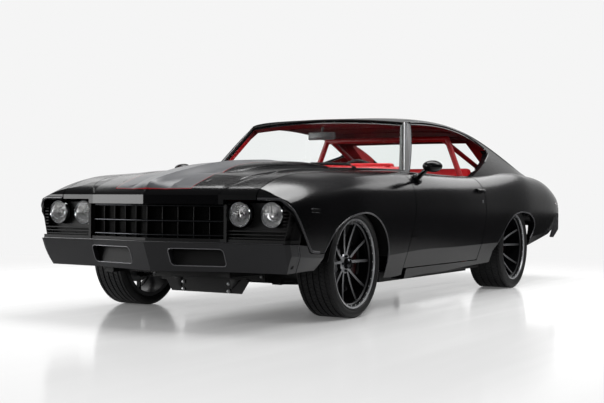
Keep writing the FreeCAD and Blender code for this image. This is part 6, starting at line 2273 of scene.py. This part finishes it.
# Which finish each CAD node wears
NODE_FINISH: dict[str, Finish] = {
    "body_shell": SHELL_PAINT, "fender_left": BLACK_PAINT, "fender_right": BLACK_PAINT, "hood": HOOD_PAINT,
    "boot_lid": LID_PAINT, "door_left": BLACK_PAINT, "door_right": BLACK_PAINT, "mirror_left": BLACK_PAINT,
    "mirror_right": BLACK_PAINT, "bumper_front": LIGHTENED_BUMPER_PAINT, "bumper_rear": LIGHTENED_BUMPER_PAINT, "nose_panel": NOSE_PLATE,
    "grille": MESH_BLACK, "tail_lamps": RED_LENS, "floor_pan": CARPET, "frame": CHASSIS,
    "inner_fenders": GRAINED_ABS, "windscreen": SCREEN_GLASS, "rear_window": SCREEN_GLASS,
    "dashboard": RED_HIDE, "steering_wheel": DARK_HIDE, "roll_cage": RED_TUBE, "console": GRAINED_ABS,
    "rear_view_mirror": MIRROR_GREY, "radiator": GRAINED_ABS, "drive_shaft": STEEL, "fuel_tank": STEEL,
    "exhaust": STEEL, "front_suspension": CHASSIS, "rear_axle": CHASSIS, "knuckle_left": CAST_IRON,
    "knuckle_right": CAST_IRON, "tyre_front_left": RUBBER, "tyre_front_right": RUBBER,
    "tyre_rear_left": RUBBER, "tyre_rear_right": RUBBER,
}


def dress_nodes(names: Iterable[str]) -> None:
    """Give every CAD node its finish; the rims are known by their names."""
    for name in names:
        mesh = bpy.data.objects[name].data
        finish = NODE_FINISH.get(name, FRONT_ALLOY if name.startswith("rim_front") else REAR_ALLOY)
        mesh.materials.clear()
        mesh.materials.append(finish.material())
        LOG.info("%s wears %s", name, finish.name)


# Studio
@dataclass(frozen=True)
class SoftBox:
    """A rectangular lamp that faces a target.

    Attributes:
        name: The lamp's name.
        place: Its centre.
        size: Its width and height.
        watts: Its power.
        target: The point it faces.
        unseen_by: The kinds of ray that don't meet it.
    """

    name: str
    place: Point
    size: Pair
    watts: float
    target: Point
    unseen_by: tuple[str, ...] = ()

    def hang(self) -> None:
        """Hang the lamp."""
        data = bpy.data.lights.new(self.name, "AREA")
        data.shape = "RECTANGLE"
        data.size, data.size_y = self.size
        data.energy = self.watts
        obj = bpy.data.objects.new(self.name, data)
        obj.location = self.place
        obj.rotation_euler = (Vector(self.target) - Vector(self.place)).to_track_quat("-Z", "Y").to_euler()
        bpy.context.collection.objects.link(obj)
        for ray in self.unseen_by:
            setattr(obj, f"visible_{ray}", False)


# A long box over the car, lamps before the nose and beyond both flanks, and a fill under the roof
LAMPS = (
    SoftBox("overhead_box", (1.0, 0.3, 4.6), (2.6, 7.0), 420.0, (0.3, 0.3, 0.0)),
    SoftBox("lamp_box", (2.2, -9.0, 2.4), (1.6, 1.0), 28.0, (0.2, -2.4, 0.6)),
    SoftBox("rear_box", (1.4, 6.6, 3.9), (5.0, 1.8), 60.0, (0.9, -0.2, 0.8), ("camera", "transmission")),
    SoftBox("nose_box", (-5.2, -5.6, 1.7), (3.0, 3.0), 240.0, (-0.2, -2.2, 0.6)),
    SoftBox("far_box", (-4.5, 1.0, 3.2), (5.0, 1.6), 30.0, (0.0, 0.2, 0.9)),
    SoftBox("cabin_fill", (0.0, 0.0, 1.235), (0.9, 0.9), 9.0, (0.0, -0.1, 0.0), ("camera", "glossy")),
)


@dataclass
class Studio:
    """The camera, the light and the floor of the photograph.

    Attributes:
        eye: The camera's place.
        yaw: Its turn from +Y towards +X in radians.
        pitch: Its tilt upwards in radians.
        roll: Its roll in radians.
        lens_mm: Its focal length on a 36 mm film.
        shift_y: How far the picture is shifted up.
        floor_half: Half the floor's width.
        white: The white that the camera sees around the car.
        wall_lean: How much the way to the mirrored wall leans from the car's right towards its rear.
        wall_edge: Where that wall turns from dark to bright, along the leant way.
        dark: The mirrored wall's strength behind the camera.
        wall: Its strength beyond the car.
        wall_top: Where the mirrored wall turns into the ceiling.
        ceiling: The mirrored ceiling's strength.
        ambient: The room's strength for all other light.
        floor_glow: The floor's own light.
        seen_fade: Distances from the middle over which the floor that is seen turns white.
        mirrored_fade: Distances over which the floor that the paint mirrors turns dark.
        mirrored_least: How dark the mirrored floor is under the car.
    """

    eye: Point = (3.83894, -7.36337, 0.69519)
    yaw: float = -0.5240183
    pitch: float = -0.0252345
    roll: float = 0.00793712
    lens_mm: float = 64.26
    shift_y: float = 0.0461
    floor_half: float = 60.0
    white: str = "#f5f5f5"
    wall_lean: float = 0.35
    wall_edge: Pair = (-0.15, 0.55)
    dark: float = 0.03
    wall: float = 0.85
    wall_top: Pair = (0.1, 0.5)
    ceiling: float = 0.14
    ambient: float = 0.7
    floor_glow: float = 0.08
    seen_fade: Pair = (2.6, 6.5)
    mirrored_fade: Pair = (1.4, 4.2)
    mirrored_least: float = 0.45

    def camera(self) -> None:
        """Place the camera where the photograph was taken."""
        level = math.cos(self.pitch)
        forward = Vector((math.sin(self.yaw) * level, math.cos(self.yaw) * level, math.sin(self.pitch)))
        right = Vector((math.cos(self.yaw), -math.sin(self.yaw), 0.0))
        up = right.cross(forward)
        turned_right = right * math.cos(self.roll) + up * math.sin(self.roll)
        turned_up = up * math.cos(self.roll) - right * math.sin(self.roll)
        turn = Matrix((turned_right, turned_up, -forward)).transposed()
        data = bpy.data.cameras.new("camera")
        data.sensor_width = 36.0
        data.lens = self.lens_mm
        data.shift_y = self.shift_y
        data.clip_end = 200.0
        obj = bpy.data.objects.new("camera", data)
        obj.matrix_world = Matrix.Translation(Vector(self.eye)) @ turn.to_4x4()
        bpy.context.collection.objects.link(obj)
        bpy.context.scene.camera = obj

    def sky(self) -> None:
        """Close the room, white to the camera. The paint mirrors it bright beyond the car and dark behind."""
        world = bpy.data.worlds.new("studio")
        world.use_nodes = True
        tree = world.node_tree
        tree.nodes.clear()
        path = add_node(tree, "ShaderNodeLightPath").outputs
        axes = axes_of(tree, add_node(tree, "ShaderNodeTexCoord").outputs["Generated"])
        beyond = maths(tree, "SUBTRACT", maths(tree, "MULTIPLY", axes["Y"], self.wall_lean), axes["X"])
        wall = map_range(tree, beyond, self.wall_edge, (self.dark, self.wall), smooth=True)
        high = map_range(tree, axes["Z"], self.wall_top, smooth=True)
        mirrored = blend(tree, high, wall, self.ceiling)
        even = blend(tree, path["Is Glossy Ray"], self.ambient, mirrored)
        seen = maths(tree, "MAXIMUM", path["Is Camera Ray"], path["Is Transmission Ray"])
        strength = blend(tree, seen, even, 1.0)
        back = add_node(tree, "ShaderNodeBackground", {"Color": linear(self.white)}, {"Strength": strength})
        add_node(tree, "ShaderNodeOutputWorld", links={"Surface": back.outputs["Background"]})
        bpy.context.scene.world = world

    def floor(self) -> None:
        """Lay the polished floor, which fades to white where it is seen and to dark where it is mirrored."""
        bm = bmesh.new()
        bmesh.ops.create_grid(bm, x_segments=1, y_segments=1, size=self.floor_half)
        mesh = bpy.data.meshes.new("studio_floor")
        bm.to_mesh(mesh)
        bm.free()
        obj = bpy.data.objects.new("studio_floor", mesh)
        bpy.context.collection.objects.link(obj)
        material = bpy.data.materials.new("polished_floor")
        material.use_nodes = True
        tree = material.node_tree
        tree.nodes.clear()
        where = object_coordinates(tree)
        settings = {"Scale": (6.0, 0.5, 1.0), "Rotation": (0, 0, -0.52)}
        streaks = add_node(tree, "ShaderNodeMapping", settings, {"Vector": where}).outputs["Vector"]
        rough = map_range(tree, noise(tree, streaks, 1.0, 3.0), (0.0, 1.0), (0.06, 0.2))
        shader = add_node(tree, "ShaderNodeBsdfPrincipled", {
            "Base Color": linear("#e9e9e9"),
            "Specular IOR Level": 0.75,
            "Emission Color": linear("#ffffff"),
            "Emission Strength": self.floor_glow,
        }, {"Roughness": rough}).outputs["BSDF"]
        away = vector_maths(tree, "LENGTH", where)
        fades = ((self.seen_fade, 0.0, 1.0), (self.mirrored_fade, self.mirrored_least, self.dark))
        floors = []
        for reach, least, strength in fades:
            fade = map_range(tree, away, reach, (least, 1.0), smooth=True)
            settings = {"Color": linear(self.white), "Strength": strength}
            glow = add_node(tree, "ShaderNodeEmission", settings).outputs["Emission"]
            floors.append(
                add_node(tree, "ShaderNodeMixShader", links={0: fade, 1: shader, 2: glow}).outputs["Shader"]
            )
        seen, mirrored = floors
        camera_ray = add_node(tree, "ShaderNodeLightPath").outputs["Is Camera Ray"]
        both = add_node(tree, "ShaderNodeMixShader", links={0: camera_ray, 1: mirrored, 2: seen})
        add_node(tree, "ShaderNodeOutputMaterial", links={"Surface": both.outputs["Shader"]})
        mesh.materials.append(material)

    def build(self) -> None:
        """Set the whole studio."""
        self.camera()
        self.sky()
        for lamp in LAMPS:
            lamp.hang()
        self.floor()
        bpy.context.scene.view_settings.view_transform = "Standard"


def build_car() -> None:
    """Build everything that rides on the car."""
    for side in Side:
        RoadWheel("front", side, -1.600, 0.328, 0.245, 0.647, 0.879, 0.062).build()
        RoadWheel("rear", side, 1.245, 0.342, 0.295, 0.609, 0.891, 0.125).build()
    FrontLamps().build()
    for part in (Nose(), Hood(), Flanks(), Screens(), Tail(), Seats(), Fascia(), CabinTrim(), EngineBay()):
        LOG.info("building %s", type(part).__name__)
        part.build()


def main() -> None:
    """Dress the frame, build the added pieces and set the studio."""
    logging.basicConfig(level=logging.INFO, format="%(message)s")
    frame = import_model()
    dress_nodes(frame["nodes"])
    build_car()
    Studio().build()


if __name__ == "__main__":
    main()
